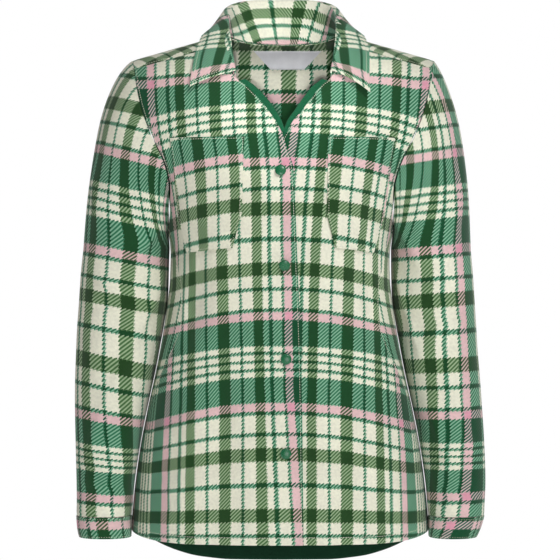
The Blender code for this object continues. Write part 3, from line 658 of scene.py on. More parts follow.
def make_wall(name, grid, thickness, cloth, finishes, wrap=False, cut=None):
    """Closed wall from its outer points. cloth holds each point's place in the flat cloth;
    with wrap, each row of cloth has one more place than points, for the closing column.
    cut, if given, is a second cloth and a rule that says which faces are cut from it."""
    outer = all_placed(grid)
    normals = grid_normals(outer, wrap)
    distances = edge_distances(outer, wrap)
    rows, columns = len(grid), len(grid[0])
    mesh = bmesh.new()
    places = mesh.loops.layers.uv.new("cloth")
    layers = []
    for sign in (0.0, 1.0):
        layer = []
        for i in range(rows):
            line = []
            for j in range(columns):
                sink = sunk(distances[i][j], thickness)
                depth = blend(sink, thickness - sink, sign)
                line.append(mesh.verts.new(outer[i][j] - normals[i][j] * depth))
            layer.append(line)
        layers.append(layer)

    def add_face(corners, finish):
        """Face from (layer, row, column) corners, with its places in the cloth."""
        face = mesh.faces.new([layers[a][i][j % columns] for a, i, j in corners])
        face.material_index = finish
        face.smooth = True
        first = (min(corner[1] for corner in corners), min(corner[2] for corner in corners))
        own = cut[0] if cut and cut[1](*first) else cloth
        for loop, (_, i, j) in zip(face.loops, corners):
            loop[places].uv = own[i][j]

    steps = columns if wrap else columns - 1
    inside = len(finishes) - 1
    for i in range(rows - 1):
        for j in range(steps):
            add_face([(0, i, j), (0, i, j + 1), (0, i + 1, j + 1), (0, i + 1, j)], 0)
            add_face([(1, i, j), (1, i + 1, j), (1, i + 1, j + 1), (1, i, j + 1)], inside)
    for j in range(steps):
        add_face([(0, 0, j), (1, 0, j), (1, 0, j + 1), (0, 0, j + 1)], 0)
        last = rows - 1
        add_face([(0, last, j), (0, last, j + 1), (1, last, j + 1), (1, last, j)], 0)
    if not wrap:
        for i in range(rows - 1):
            add_face([(0, i, 0), (0, i + 1, 0), (1, i + 1, 0), (1, i, 0)], 0)
            last = columns - 1
            add_face([(0, i, last), (1, i, last), (1, i + 1, last), (0, i + 1, last)], 0)
    data = bpy.data.meshes.new(name)
    mesh.to_mesh(data)
    mesh.free()
    piece = add_object(name, data)
    for finish in finishes:
        data.materials.append(finish)
    area = surface_area(outer, wrap)
    print(f"{name}: {len(data.polygons)} faces, {area:.4f} square metres of cloth")
    return piece


def mirrored(point):
    """The point on the other side of the middle."""
    return Vector((-point.x, point.y, point.z))


def on_side(row, side):
    """A row drawn outwards on the left, on its own side and from the viewer's left."""
    return row if side == "left" else [mirrored(point) for point in row[::-1]]


def declare(piece, node):
    """Tie a cloth piece to the body and hide the imported node it stands for."""
    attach(piece, "root")
    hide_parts(node)


# %% [markdown]
# The cloth is brushed polyester fleece. The plaid is printed on it to look woven: warp
# stripes run down the cloth and weft stripes across, and where one crosses pale cloth it
# breaks into slanting twill lines. The nap is short and matt, with a faint sheen at
# grazing angles, and it blurs every edge a little.
#
# The stripes repeat in mirror image, so a ping-pong of the place in the cloth finds the
# place in half a repeat, and a colour ramp with hard steps holds the stripes. A stripe
# is a dye: its colour multiplies the cream ground, and between the twill lines only a
# share of it is printed. Pink prints in full everywhere, and where two dark stripes cross
# three quarters of both dyes are printed evenly, with no lines. The ramps' alpha tells
# dark stripes (1) from pink ones (0.5) and bare ground (0).
#
# The real twill lines are about 3.9 mm apart, which is three points of a picture of this
# size and would blur to one flat tint, so they are drawn 4.8 mm apart.

# %% Dyes and stripes
GROUND = hex_colour("E0DFCC")
BARE = (1.0, 1.0, 1.0, 0.0)
PINK = (0.930, 0.640, 0.790, 0.5)
OLIVE = (0.066, 0.168, 0.066, 1.0)
FOREST = (0.027, 0.190, 0.110, 1.0)
KELLY = (0.024, 0.180, 0.098, 1.0)

# Half a repeat across the cloth, from the middle of the widest olive stripe: dye, width (mm)
WARP = (
    (OLIVE, 7.6), (BARE, 14.0), (KELLY, 3.4), (BARE, 14.4), (OLIVE, 12.7), (BARE, 7.1),
    (KELLY, 4.6), (BARE, 12.2), (KELLY, 3.4), (PINK, 9.9), (FOREST, 20.0), (BARE, 5.0),
    (KELLY, 3.0), (BARE, 4.8), (KELLY, 1.5),
)
# Half a repeat down the cloth, from the line between two wide bare squares
WEFT = (
    (KELLY, 2.6), (BARE, 27.0), (OLIVE, 17.4), (BARE, 14.6), (KELLY, 5.0), (BARE, 21.8),
    (KELLY, 5.0), (PINK, 10.4), (FOREST, 32.6), (BARE, 7.0), (KELLY, 4.2), (BARE, 6.8),
    (KELLY, 2.1),
)
TWILL_PITCH = 0.0048
TWILL_JAG = 0.0022
LINE_EDGES = (0.25, 0.75)
WAVER, WAVER_SCALE = 0.0022, 45.0
PINK_ALPHA, DARK_ALPHA = 0.5, 0.75
# Uneven dye, as scale and amount: fine, then broad
PLAID_MOTTLES = ((300.0, 0.07), (26.0, 0.05))
GREEN_MOTTLES = ((420.0, 0.14), (30.0, 0.08))
NAP_SCALE = 620.0
SOFT_NAP = {"Roughness": 0.95, "Specular IOR Level": 0.15, "Sheen Weight": 0.12}
PRINTED_BETWEEN = 0.33
PRINTED_BETWEEN_ON_PINK = 0.06
PRINTED_ON_DARK = 0.75
WARP_HALF = sum(width for _, width in WARP) / 1000.0
WEFT_HALF = sum(width for _, width in WEFT) / 1000.0
print(f"half repeats: {WARP_HALF * 1000:.1f} mm across, {WEFT_HALF * 1000:.1f} mm down")


# %% The printed fleece
def stripe_ramp(tree, stripes, place):
    """Colour ramp with hard steps that holds half a repeat of stripes."""
    total = sum(width for _, width in stripes)
    ramp = add_node(tree, "ShaderNodeValToRGB", inputs={"Fac": place})
    ramp.color_ramp.interpolation = "CONSTANT"
    elements = ramp.color_ramp.elements
    start = 0.0
    for number, (dye, width) in enumerate(stripes):
        element = elements[number] if number < 2 else elements.new(start / total)
        element.position = start / total
        element.color = dye
        start += width
    return ramp


def calc(tree, operation, *values):
    """Output of a Math node on values or sockets."""
    inputs = dict(enumerate(values))
    return add_node(tree, "ShaderNodeMath", {"operation": operation}, inputs).outputs[0]


def mapped(tree, value, settings=None, **span):
    """Output of a Map Range node; low and high are what from_low and from_high become."""
    inputs = {0: value, 3: span["low"], 4: span["high"]}
    if "from_low" in span:
        inputs.update({1: span["from_low"], 2: span["from_high"]})
    return add_node(tree, "ShaderNodeMapRange", settings, inputs).outputs[0]


def printed_share(tree, in_line, own, other):
    """How much of a stripe's dye is printed at a point, from the two ramps' alphas."""
    other_pink, own_pink = (calc(tree, "COMPARE", a, PINK_ALPHA, 0.2) for a in (other, own))
    other_dark, own_dark = (calc(tree, "GREATER_THAN", a, DARK_ALPHA) for a in (other, own))
    drop = PRINTED_BETWEEN - PRINTED_BETWEEN_ON_PINK
    least = calc(tree, "MULTIPLY_ADD", other_pink, -drop, PRINTED_BETWEEN)
    share = calc(tree, "MULTIPLY_ADD", calc(tree, "SUBTRACT", 1.0, least), in_line, least)
    share = calc(tree, "MAXIMUM", share, own_pink)
    full = calc(tree, "SUBTRACT", PRINTED_ON_DARK, share)
    both = calc(tree, "MULTIPLY", other_dark, own_dark)
    return calc(tree, "MULTIPLY_ADD", full, both, share)


def multiply(tree, a, b):
    """Product of two colours."""
    settings = {"data_type": "RGBA", "blend_type": "MULTIPLY"}
    return add_node(tree, "ShaderNodeMix", settings, {0: 1.0, 6: a, 7: b}).outputs[2]


def bumped(tree, height, strength, distance, under=None):
    """Normal of a bump, over another normal if one is given."""
    inputs = {"Height": height, "Strength": strength, "Distance": distance}
    if under is not None:
        inputs["Normal"] = under
    return add_node(tree, "ShaderNodeBump", inputs=inputs).outputs[0]


def nap_bump(tree, places):
    """Normal of the short brushed nap."""
    fuzz = {"Vector": places, "Scale": NAP_SCALE, "Detail": 3.0, "Roughness": 0.7}
    fuzz = add_node(tree, "ShaderNodeTexNoise", inputs=fuzz)
    return bumped(tree, fuzz.outputs[0], 0.5, 0.0006)


def scaled(tree, colour, factor):
    """Colour times a number."""
    inputs = {0: colour, 3: factor}
    return add_node(tree, "ShaderNodeVectorMath", {"operation": "SCALE"}, inputs).outputs[0]


def mottled(tree, colour, places, *mottles):
    """Colour that is a little lighter and darker in patches, each a scale and an amount."""
    for scale, amount in mottles:
        patches = {"Vector": places, "Scale": scale}
        patches = add_node(tree, "ShaderNodeTexNoise", inputs=patches).outputs[0]
        span = {"from_low": 0.3, "from_high": 0.7, "low": 1.0 - amount, "high": 1.0 + amount}
        colour = scaled(tree, colour, mapped(tree, patches, **span))
    return colour


def cloth_places(tree):
    """Places in the flat cloth, from the UV map."""
    return add_node(tree, "ShaderNodeUVMap", {"uv_map": "cloth"}).outputs[0]


def plaid_fleece():
    """Brushed polyester fleece, printed with the plaid."""
    material, shader = new_material("printed_plaid_fleece")
    tree = material.node_tree
    uv = cloth_places(tree)
    waver = add_node(tree, "ShaderNodeTexNoise", inputs={"Vector": uv, "Scale": WAVER_SCALE})
    waver = calc(tree, "MULTIPLY_ADD", waver.outputs[0], WAVER, -WAVER / 2.0)
    across, down = list(add_node(tree, "ShaderNodeSeparateXYZ", inputs={0: uv}).outputs)[:2]
    slant = calc(tree, "DIVIDE", calc(tree, "SUBTRACT", across, down), TWILL_PITCH / 2.0)
    twill = calc(tree, "PINGPONG", slant, 1.0)
    jag = calc(tree, "MULTIPLY_ADD", twill, TWILL_JAG, -TWILL_JAG / 2.0)
    jag = calc(tree, "ADD", jag, waver)
    ramps = []
    for place, half, stripes in ((across, WARP_HALF, WARP), (down, WEFT_HALF, WEFT)):
        place = calc(tree, "ADD", place, jag)
        place = calc(tree, "DIVIDE", calc(tree, "PINGPONG", place, half), half)
        ramps.append(stripe_ramp(tree, stripes, place))
    span = {"from_low": LINE_EDGES[0], "from_high": LINE_EDGES[1], "low": 0.0, "high": 1.0}
    in_line = mapped(tree, twill, {"interpolation_type": "SMOOTHSTEP"}, **span)
    between = calc(tree, "SUBTRACT", 1.0, in_line)
    colour = (*GROUND, 1.0)
    for own, other, line in ((ramps[0], ramps[1], in_line), (ramps[1], ramps[0], between)):
        share = printed_share(tree, line, own.outputs[1], other.outputs[1])
        dyed = add_node(tree, "ShaderNodeGamma", inputs={0: own.outputs[0], 1: share})
        colour = multiply(tree, dyed.outputs[0], colour)
    colour = mottled(tree, colour, uv, *PLAID_MOTTLES)
    normal = bumped(tree, in_line, 0.25, 0.0004, nap_bump(tree, uv))
    set_inputs(shader, {"Base Color": colour, "Normal": normal, "Sheen Roughness": 0.6})
    set_inputs(shader, SOFT_NAP)
    return material


def green_fleece(name, colour):
    """Brushed polyester fleece dyed one green, as on the wrong side of the cloth; where the
    green given is darker than the cloth's own, the difference is painted shade.
    """
    material, shader = new_material(name)
    tree = material.node_tree
    uv = cloth_places(tree)
    shade = mottled(tree, hex_colour(colour), uv, *GREEN_MOTTLES)
    set_inputs(shader, {"Base Color": shade, "Normal": nap_bump(tree, uv), **SOFT_NAP})
    return material


PLAID = plaid_fleece()
# The insides take a green darker than the wrong side's own (1A5B3C, on the facings): painted
# shade for the dim inside of the jacket.
SHADED_WRONG_SIDE = green_fleece("green_fleece_wrong_side_painted_shade", "0F3622")
FACING_CLOTH = green_fleece("green_fleece_facing", "1A5B3C")
print("cloths:", PLAID.name, SHADED_WRONG_SIDE.name, FACING_CLOTH.name)

# %% [markdown]
# Where a piece lies in the plaid is settled as a cutter does on the table. Down
# the body the weft stripes are matched across the front opening and the side seams.
# They droop a little towards the sides, because the bust takes up length in the middle.
# The warp stripes lean outwards above the bust, and near the lapped edge they drift
# towards it lower down. A pocket is cut from another place, 27 mm further out and 6.5 mm
# further up, so its stripes step at its edge.

# %% Places in the cloth
MIDDLE_LINE = -0.2496
DROOP_AT, DROOP_ENDS, DROOP_POWER = 0.14, 0.17, 2.2
DROOP = (
    (-0.640, 0.002), (-0.600, 0.005), (-0.526, 0.016), (-0.466, 0.019), (-0.390, 0.016),
    (-0.347, 0.022), (-0.250, 0.020), (-0.142, 0.018), (-0.080, 0.010), (0.000, 0.000),
)
LEAN = (
    (-0.460, 0.0), (-0.290, 0.26), (-0.206, 0.42), (-0.150, 0.60), (-0.105, 0.92),
    (-0.070, 1.0),
)
PANEL_PLACE = {"right": (-0.0703, -0.0170), "left": (0.0862, 0.0150)}
PLACKET_DRIFT = (
    (-0.640, 0.0110), (-0.540, 0.0050), (-0.430, -0.0010), (-0.300, 0.0),
)
PLACKET_DRIFT_ENDS = 0.075
PROFILE_AT = 0.06
PROFILE_SPAN = (-0.70, 0.012, 90)


def profile_lengths():
    """Length of cloth up the front at each height, on a path beside the opening."""
    points = [front_point(PROFILE_AT, z) for z in levels(*PROFILE_SPAN)]
    lengths = run_lengths(points)
    return [(point.z, length) for point, length in zip(points, lengths)]


PROFILE = profile_lengths()


def length_up(z):
    """Length of cloth up the front to a height, by straight steps between points."""
    step = (PROFILE[-1][0] - PROFILE[0][0]) / (len(PROFILE) - 1)
    place = min(max((z - PROFILE[0][0]) / step, 0.0), len(PROFILE) - 1.001)
    i = int(place)
    return blend(PROFILE[i][1], PROFILE[i + 1][1], place - i)


def down_place(x, z):
    """Place down the plaid of a point on the body."""
    droop = read(DROOP, z) * (min(abs(x), DROOP_ENDS) / DROOP_AT) ** DROOP_POWER
    return length_up(z) - length_up(MIDDLE_LINE) + droop


def row_places(row):
    """Place across the cloth of each point of a row, by its level run from the first."""
    place = row[0].x
    places = [place]
    for a, b in zip(row, row[1:]):
        place += math.copysign(Vector((b.x - a.x, b.y - a.y)).length, row[-1].x - row[0].x)
        places.append(place)
    return places


print(f"cloth from hem to neck seam: {length_up(0.0) - length_up(FRONT_HEM):.3f} m")

# %% [markdown]
# The fronts. Rows of points rise from the hem and columns run from the front edge to the
# side seam or the armhole. The right front laps over the left, so the left one drops
# back a little where it runs under. The V of the neck is the front edge itself, which
# curves out to the collar.

# %% Fronts
LEVEL_BELOW = -0.080
FRONT_ROWS, FRONT_COLUMNS = 118, 44
FRONT_HEM_RISE, BACK_HEM_RISE = 0.10, 0.13


def side_height(z):
    """Height at the armhole of the row that starts at a height of the front edge."""
    if z <= LEVEL_BELOW:
        return z
    share = (z - LEVEL_BELOW) / (NECK_SEAM_HEIGHT - LEVEL_BELOW)
    return blend(LEVEL_BELOW, ARM_SEAM_HEIGHT, share)


def with_underarm(rows):
    """Heights with two of them moved to the underarm and just above it, for every piece
    whose edge changes there from the side seam to the armhole."""
    nearest = min(range(len(rows)), key=lambda i: abs(rows[i] - UNDERARM))
    rows[nearest:nearest + 2] = [UNDERARM, UNDERARM + UNDERARM_STEP]
    return rows


def hem_bend(angle, z, rise):
    """How far a row follows the hem's curve, less and less as it lies above the hem."""
    return (hem_height(angle) - SIDE_HEM) * max(1.0 - (z - SIDE_HEM) / rise, 0.0)


def lapped(side, point):
    """The left front's edge drops back a little, where the right one laps over it."""
    if side == "left":
        point.y += LAP_DROP * (1.0 - ease(LAP_FLAT, LAP_RISE, point.x))
    return point


def front_grid(side):
    """Outer points of a front: rows rise from the hem, closer together at both ends."""
    whole = NECK_SEAM_HEIGHT - SEAM - SIDE_HEM
    grid = []
    for z_edge in with_underarm([SIDE_HEM + whole * share for share in spread(FRONT_ROWS)]):
        z_side = side_height(z_edge)
        x_edge = read(EDGES[side], z_edge)
        x_side = read(FRONT_ARMHOLE, z_side)
        start = section_angle(x_edge, z_edge)
        if z_edge <= UNDERARM:
            end = math.radians(read(SIDE_SEAM, z_side)) - SEAM_ANGLE
        else:
            end = section_angle(x_side, z_side)
        row = []
        for share in spread(FRONT_COLUMNS):
            angle = blend(start, end, share)
            z = blend(z_edge, z_side, share) + hem_bend(angle, z_edge, FRONT_HEM_RISE)
            point = section_point(angle, z)
            if z_edge > UNDERARM:
                z = blend(z_edge, z_side, (point.x - x_edge) / (x_side - x_edge))
                point = front_point(point.x, z)
            row.append(lapped(side, point))
        grid.append(on_side(row, side))
    return grid


def front_cloth(grid, side, across=0.0, up=0.0):
    """Places in the plaid of a grid on one front."""
    middle, lean = PANEL_PLACE[side]
    cloth = []
    for row in grid:
        nearest = min(range(len(row)), key=lambda j: abs(row[j].x))
        places = row_places(row)
        shift = row[nearest].x - places[nearest]
        line = []
        for place, point in zip(places, row):
            leaning = lean * read(LEAN, point.z)
            if side == "right":
                from_edge = -read(RIGHT_EDGE, point.z) - point.x
                near = 1.0 - ease(0.0, PLACKET_DRIFT_ENDS, from_edge)
                leaning += near * read(PLACKET_DRIFT, point.z)
            place += shift - middle - leaning + across
            line.append((place, down_place(point.x, point.z) - up))
        cloth.append(line)
    return cloth


def make_front(side):
    """One front panel."""
    smooth = front_grid(side)
    cloth = front_cloth(smooth, side)
    grid = creased(smooth, FRONT_CREASES)
    piece = make_wall(f"front_{side}_panel", grid, WALL, cloth, [PLAID, SHADED_WRONG_SIDE])
    declare(piece, f"front_{side}")
    return grid


fronts = {side: make_front(side) for side in SIDES}

# %% [markdown]
# The back hangs from the yoke seam to a longer, curved hem, whose inside shows below the
# front hem as a dark strip, drawn darker than the cloth's wrong side as painted shade. The
# yoke runs over both shoulders to seams that lie forward of the ridge, and an inner yoke
# of the same plaid shows through the neck.

# %% Back and yoke
YOKE_TOP = (
    (0.00, 0.0000, 112.4), (0.15, 0.0290, 111.0), (0.28, 0.0530, 106.5), (0.38, 0.0690, 98.0),
    (0.44, 0.0765, 86.0), (0.50, 0.0780, 71.6),
)
BACK_ROWS, YOKE_ROWS, BACK_COLUMNS = 104, 42, 84
INNER_ROWS, INNER_COLUMNS = 28, 44
YOKE_FACING_BOTTOM = -0.125
YOKE_FACING_INSET = -2.5
YOKE_FACING_SHARE = 0.38
YOKE_FACING_GAP = 0.0010
INNER_PRINT_SCALE = 1.0 / 1.30
INNER_PRINT_DOWN_SCALE = 0.84
INNER_PRINT_PLACE = (0.008, -0.0427)


def back_grid():
    """Outer points of the back: rows rise from the hem, columns run left to right."""
    grid = []
    whole = BACK_YOKE_SEAM - SEAM / 2.0 - SIDE_HEM
    for level in with_underarm([SIDE_HEM + whole * up for up in spread(BACK_ROWS)]):
        if level <= UNDERARM:
            reach = math.pi - math.radians(read(SIDE_SEAM, level)) - SEAM_ANGLE
        else:
            reach = section_angle(read(BACK_ARMHOLE, level), level)
        row = []
        for share in spread(BACK_COLUMNS):
            from_middle = reach * (1.0 - 2.0 * share)
            angle = math.copysign(math.pi - abs(from_middle), from_middle)
            row.append(section_point(angle, level + hem_bend(angle, level, BACK_HEM_RISE)))
        grid.append(row)
    return grid


def yoke_column(share):
    """Ends of a yoke column on the left: distance out and turn, low and high."""
    low_x = read(BACK_ARMHOLE, BACK_YOKE_SEAM) * share
    low_turn = turn_at("back", low_x, BACK_YOKE_SEAM + SEAM / 2.0)
    if share <= 0.5:
        return low_x, low_turn, read(YOKE_TOP, share, 1), read(YOKE_TOP, share, 2)
    t = (share - 0.5) * 2.0
    high_x = blend(NECK_HALF_WIDTH, SHOULDER_HALF_WIDTH, t)
    high_turn = turn_at("front", high_x, blend(NECK_SEAM_HEIGHT, ARM_SEAM_HEIGHT, t))
    return low_x, low_turn, high_x, high_turn


def armhole_reach(turn):
    """Distance out of the armhole's edge at a turn over the ridge."""
    table = FRONT_ARMHOLE if turn <= 90.0 else BACK_ARMHOLE
    x = SHOULDER_HALF_WIDTH
    for _ in range(6):
        x = read(table, shoulder_height(x, turn))
    return x


def armhole_bow(up):
    """How far the yoke's side edge lies outside a straight one."""
    low_x, low_turn, high_x, high_turn = yoke_column(1.0)
    return armhole_reach(blend(low_turn, high_turn, up)) - blend(low_x, high_x, up)


def yoke_point(share, x, turn):
    """Point of the shoulders, on the side that the share's sign names."""
    point = shoulder_point(x, turn)
    point.x = math.copysign(point.x, share)
    return point


def yoke_grid():
    """Outer points of the yoke: rows rise from the back seam over the shoulders."""
    grid = []
    for up in spread(YOKE_ROWS):
        bow = armhole_bow(up) if 0.0 < up < 1.0 else 0.0
        row = []
        for share in (1.0 - 2.0 * step for step in spread(BACK_COLUMNS)):
            low_x, low_turn, high_x, high_turn = yoke_column(abs(share))
            x = blend(low_x, high_x, up) + bow * max(abs(share) * 2.0 - 1.0, 0.0)
            row.append(yoke_point(share, x, blend(low_turn, high_turn, up)))
        grid.append(row)
    return grid


def yoke_facing_grid():
    """Outer points of the inner yoke, a wall's thickness inside the back."""
    grid = []
    for up in spread(INNER_ROWS):
        row = []
        for step in spread(INNER_COLUMNS):
            share = (1.0 - 2.0 * step) * YOKE_FACING_SHARE
            low_x, _, high_x, high_turn = yoke_column(abs(share))
            low_turn = turn_at("back", low_x, YOKE_FACING_BOTTOM)
            turn = blend(low_turn, high_turn + YOKE_FACING_INSET, up)
            row.append(yoke_point(share, blend(low_x, high_x, up), turn))
        grid.append(row)
    return moved_out(grid, -WALL - YOKE_FACING_GAP)


def hung_cloth(grid, start, middle_line=0.0):
    """Places in the plaid of a grid whose rows run across and rise evenly from start."""
    columns = [run_lengths(column) for column in zip(*grid)]
    cloth = []
    for i, row in enumerate(grid):
        middle = min(range(len(row)), key=lambda j: abs(row[j].x))
        places = row_places(row)
        shift = row[middle].x - places[middle] - middle_line
        line = [(place + shift, start + columns[j][i]) for j, place in enumerate(places)]
        cloth.append(line)
    return cloth


def make_back():
    """The back, which hangs from the yoke."""
    grid = back_grid()
    cloth = hung_cloth(grid, 0.0)
    for row, line in zip(grid, cloth):
        for j, point in enumerate(row):
            line[j] = (line[j][0], down_place(point.x, point.z))
    grid = creased(grid, BACK_CREASES, away=-1.0)
    piece = make_wall("back_panel", grid, WALL, cloth, [PLAID, SHADED_WRONG_SIDE])
    declare(piece, "back")
    return grid


def make_yoke():
    """The yoke, cut so that its stripes run on from the back."""
    grid = yoke_grid()
    cloth = hung_cloth(grid, length_up(BACK_YOKE_SEAM) - length_up(MIDDLE_LINE))
    piece = make_wall("shoulder_yoke", grid, WALL, cloth, [PLAID, SHADED_WRONG_SIDE])
    declare(piece, "yoke")
    return grid


def make_inner_yoke():
    """The inner yoke: its right side faces the neck."""
    grid = yoke_facing_grid()
    cloth = hung_cloth(grid, 0.0, INNER_PRINT_PLACE[0])
    top = grid[-1][len(grid[-1]) // 2].z
    for row, line in zip(grid, cloth):
        for j, point in enumerate(row):
            place = (point.z - top) * INNER_PRINT_DOWN_SCALE + INNER_PRINT_PLACE[1]
            line[j] = (line[j][0] * INNER_PRINT_SCALE, place)
    piece = make_wall("inner_yoke", grid, THIN_WALL, cloth, [PLAID])
    declare(piece, "yoke_facing")


back_points = make_back()
yoke_points = make_yoke()
make_inner_yoke()

# %% [markdown]
# The sleeves are set in: each starts as a ring along the armhole, eases into level
# rings, bends a little forward at the elbow and narrows to the cuff. Fleece bunches in
# short slanting creases at the elbow and above the cuff, and drags from the armpit.

# %% Sleeves and cuffs
SLEEVE_START = -0.262
CUFF_TOP = -0.606
CUFF_BOTTOM = -0.634
ARM_CLEARANCE = 0.0009
HEAD_CLEARANCE = 0.0008
# Which way the sleeve leaves the armhole at the top and under the arm, where it turns
# straight down, and how it reaches the first level ring
HEAD_LEAVES = {"right": (0.82, 0.0, -0.57), "left": (0.60, 0.0, -0.80)}
UNDERARM_LEAVES, UNDERARM_SHARE = (0.25, 0.0, -0.95), 0.15
ARRIVES = (0.03, 0.0, -1.0)
UNDERARM_PULL, HEAD_PULL, RING_PULL = 0.6, 0.7, 0.9
SLEEVE_POWER = 2.2
SLEEVE_COLUMNS = 76
HEAD_ROWS, ARM_ROWS, CUFF_ROWS = 30, 72, 8
HEAD_LAST, HEAD_END = 0.97, 0.978
# Height, inner side, outer side of the right, of the left, half depth, middle of the depth
SLEEVE = (
    (-0.262, 0.1455, 0.2580, 0.2495, 0.0660, 0.0060),
    (-0.316, 0.1466, 0.2628, 0.2545, 0.0645, 0.0080),
    (-0.393, 0.1577, 0.2672, 0.2590, 0.0610, 0.0040),
    (-0.453, 0.1706, 0.2682, 0.2632, 0.0560, -0.0040),
    (-0.480, 0.1763, 0.2675, 0.2647, 0.0535, -0.0090),
    (-0.508, 0.1812, 0.2665, 0.2660, 0.0510, -0.0140),
    (-0.563, 0.1886, 0.2645, 0.2672, 0.0465, -0.0240),
    (-0.606, 0.1924, 0.2640, 0.2650, 0.0430, -0.0310),
)
CUFF = (
    (-0.6065, 0.1921, 0.2645, 0.2655, 0.0435, -0.0310),
    (-0.6200, 0.1924, 0.2635, 0.2615, 0.0430, -0.0320),
    (-0.6360, 0.1928, 0.2605, 0.2545, 0.0415, -0.0335),
)
# The elbow's folds: height, part of the turn, half height, half part, depth
SLEEVE_FOLDS = (
    (-0.318, 0.30, 0.016, 0.17, 0.0026), (-0.352, 0.36, 0.018, 0.18, 0.0034),
    (-0.390, 0.30, 0.018, 0.16, 0.0028), (-0.335, 0.68, 0.018, 0.15, 0.0024),
    (-0.575, 0.25, 0.014, 0.22, 0.0020),
)
# Smaller creases: from part and height, to part and height, half width and depth in mm
SLEEVE_CREASES = {
    "right": (
        (0.16, -0.296, 0.34, -0.345, 8, 2.6), (0.12, -0.340, 0.28, -0.330, 7, -1.6),
        (0.38, -0.230, 0.24, -0.300, 12, 3.0), (0.42, -0.300, 0.30, -0.390, 11, 2.2),
        (0.30, -0.400, 0.18, -0.520, 13, 2.0), (0.16, -0.560, 0.36, -0.580, 7, 2.0),
        (0.10, -0.548, 0.24, -0.540, 7, -1.2), (0.64, -0.250, 0.80, -0.330, 12, 2.8),
        (0.72, -0.380, 0.88, -0.370, 9, 2.4), (0.60, -0.345, 0.74, -0.350, 8, 2.4),
        (0.66, -0.440, 0.80, -0.545, 13, 2.0), (0.64, -0.575, 0.84, -0.585, 8, 1.8),
        (0.06, -0.150, 0.16, -0.230, 14, 1.8), (0.94, -0.160, 0.86, -0.250, 14, 2.0),
    ),
    "left": (
        (0.40, -0.225, 0.27, -0.300, 12, 2.8), (0.42, -0.290, 0.34, -0.400, 10, 2.6),
        (0.14, -0.352, 0.32, -0.374, 8, 2.0), (0.26, -0.420, 0.16, -0.530, 13, 2.0),
        (0.34, -0.470, 0.28, -0.560, 11, 1.8), (0.14, -0.586, 0.34, -0.572, 7, 1.8),
        (0.62, -0.255, 0.78, -0.320, 12, 2.6), (0.58, -0.350, 0.76, -0.342, 8, 2.6),
        (0.70, -0.392, 0.86, -0.400, 9, 2.2), (0.64, -0.450, 0.78, -0.550, 13, 2.0),
        (0.66, -0.585, 0.86, -0.575, 8, 1.8), (0.07, -0.155, 0.17, -0.240, 14, 1.8),
        (0.93, -0.150, 0.85, -0.240, 14, 2.0),
    ),
}
SLEEVE_ROUND = 0.36
FLAT_BY_CUFF = 0.02
# How fast the slow wave of a sleeve's surface runs round and down it, and turns
SLEEVE_WAVE = (6.283, 16.0, 3.0)
SLEEVE_UNEVEN = 9.0
# Where the sleeve's outermost point lies across the plaid, and how fast that runs round
SLEEVE_PLACE = {"right": -0.0829, "left": 0.1270}
SLEEVE_RUN = 0.80
SLEEVE_MIDDLE = 0.205
# The same for a cuff; the height of its pink stripe, and that stripe's place in the plaid
CUFF_PLACE = {"right": -0.0950, "left": 0.1400}
CUFF_PINK = -0.6165
PINK_PLACE = -0.0985
# Height on the sleeve's front, place down the plaid; then the slope of its stripes
SLEEVE_DOWN = {
    "right": (
        (-0.640, -0.2705), (-0.5849, -0.2154), (-0.4834, -0.0986), (-0.3690, 0.0),
        (-0.2686, 0.0986), (-0.1388, 0.2154), (0.020, 0.3674),
    ),
    "left": (
        (-0.640, -0.2734), (-0.5816, -0.2154), (-0.4762, -0.0986), (-0.3695, 0.0),
        (-0.2627, 0.0986), (-0.1389, 0.2154), (0.020, 0.3674),
    ),
}
SLEEVE_SLOPE = (
    (-0.60, 0.06, 0.02), (-0.48, 0.16, 0.02), (-0.37, 0.17, 0.05), (-0.26, 0.18, 0.08),
    (-0.14, 0.24, 0.16),
)


def armhole_point(part):
    """Point of the left armhole's edge: 0 at the top, 0.25 in front, 0.5 below."""
    down = 0.5 - 0.5 * math.cos(2.0 * math.pi * part)
    z = blend(ridge(read(BACK_ARMHOLE, 0.0)), UNDERARM, down)
    if part <= 0.5:
        return front_point(read(FRONT_ARMHOLE, z), z)
    return back_point(read(BACK_ARMHOLE, z), z)


def sleeve_ring(table, side, z, part):
    """Point of a level cut of a sleeve, drawn on the left, by the part of the turn."""
    inner, half_depth, middle = (read(table, z, column) for column in (1, 4, 5))
    outer = read(table, z, 2 if side == "right" else 3)
    turn = 2.0 * math.pi * part
    across, deep = (signed_power(f(turn), 2.0 / SLEEVE_POWER) for f in (math.cos, math.sin))
    crease = 0.0
    for height, at, half_height, half_part, depth in SLEEVE_FOLDS:
        crease += depth * hump((z - height) / half_height) * hump((part - at) / half_part)
    x = (inner + outer) / 2.0 + ((outer - inner) / 2.0 - crease) * across
    return Vector((x, middle - (half_depth - crease) * deep, z))


def sleeve_head_point(side, part, along):
    """Point between the armhole and the first level ring."""
    high = 0.5 + 0.5 * math.cos(2.0 * math.pi * part)
    clear = blend(ARM_CLEARANCE, HEAD_CLEARANCE, high)
    start = armhole_point(part) + Vector((clear, 0.0, 0.0))
    end = sleeve_ring(SLEEVE, side, SLEEVE_START, part)
    reach = (end - start).length
    leave = Vector(HEAD_LEAVES[side]) * high + Vector(UNDERARM_LEAVES) * (1.0 - high)
    if high < UNDERARM_SHARE:
        leave = leave.lerp(-UP, 1.0 - high / UNDERARM_SHARE)
    leave = leave.normalized() * reach * blend(UNDERARM_PULL, HEAD_PULL, high)
    return hermite(start, leave, end, Vector(ARRIVES) * reach * RING_PULL, along)


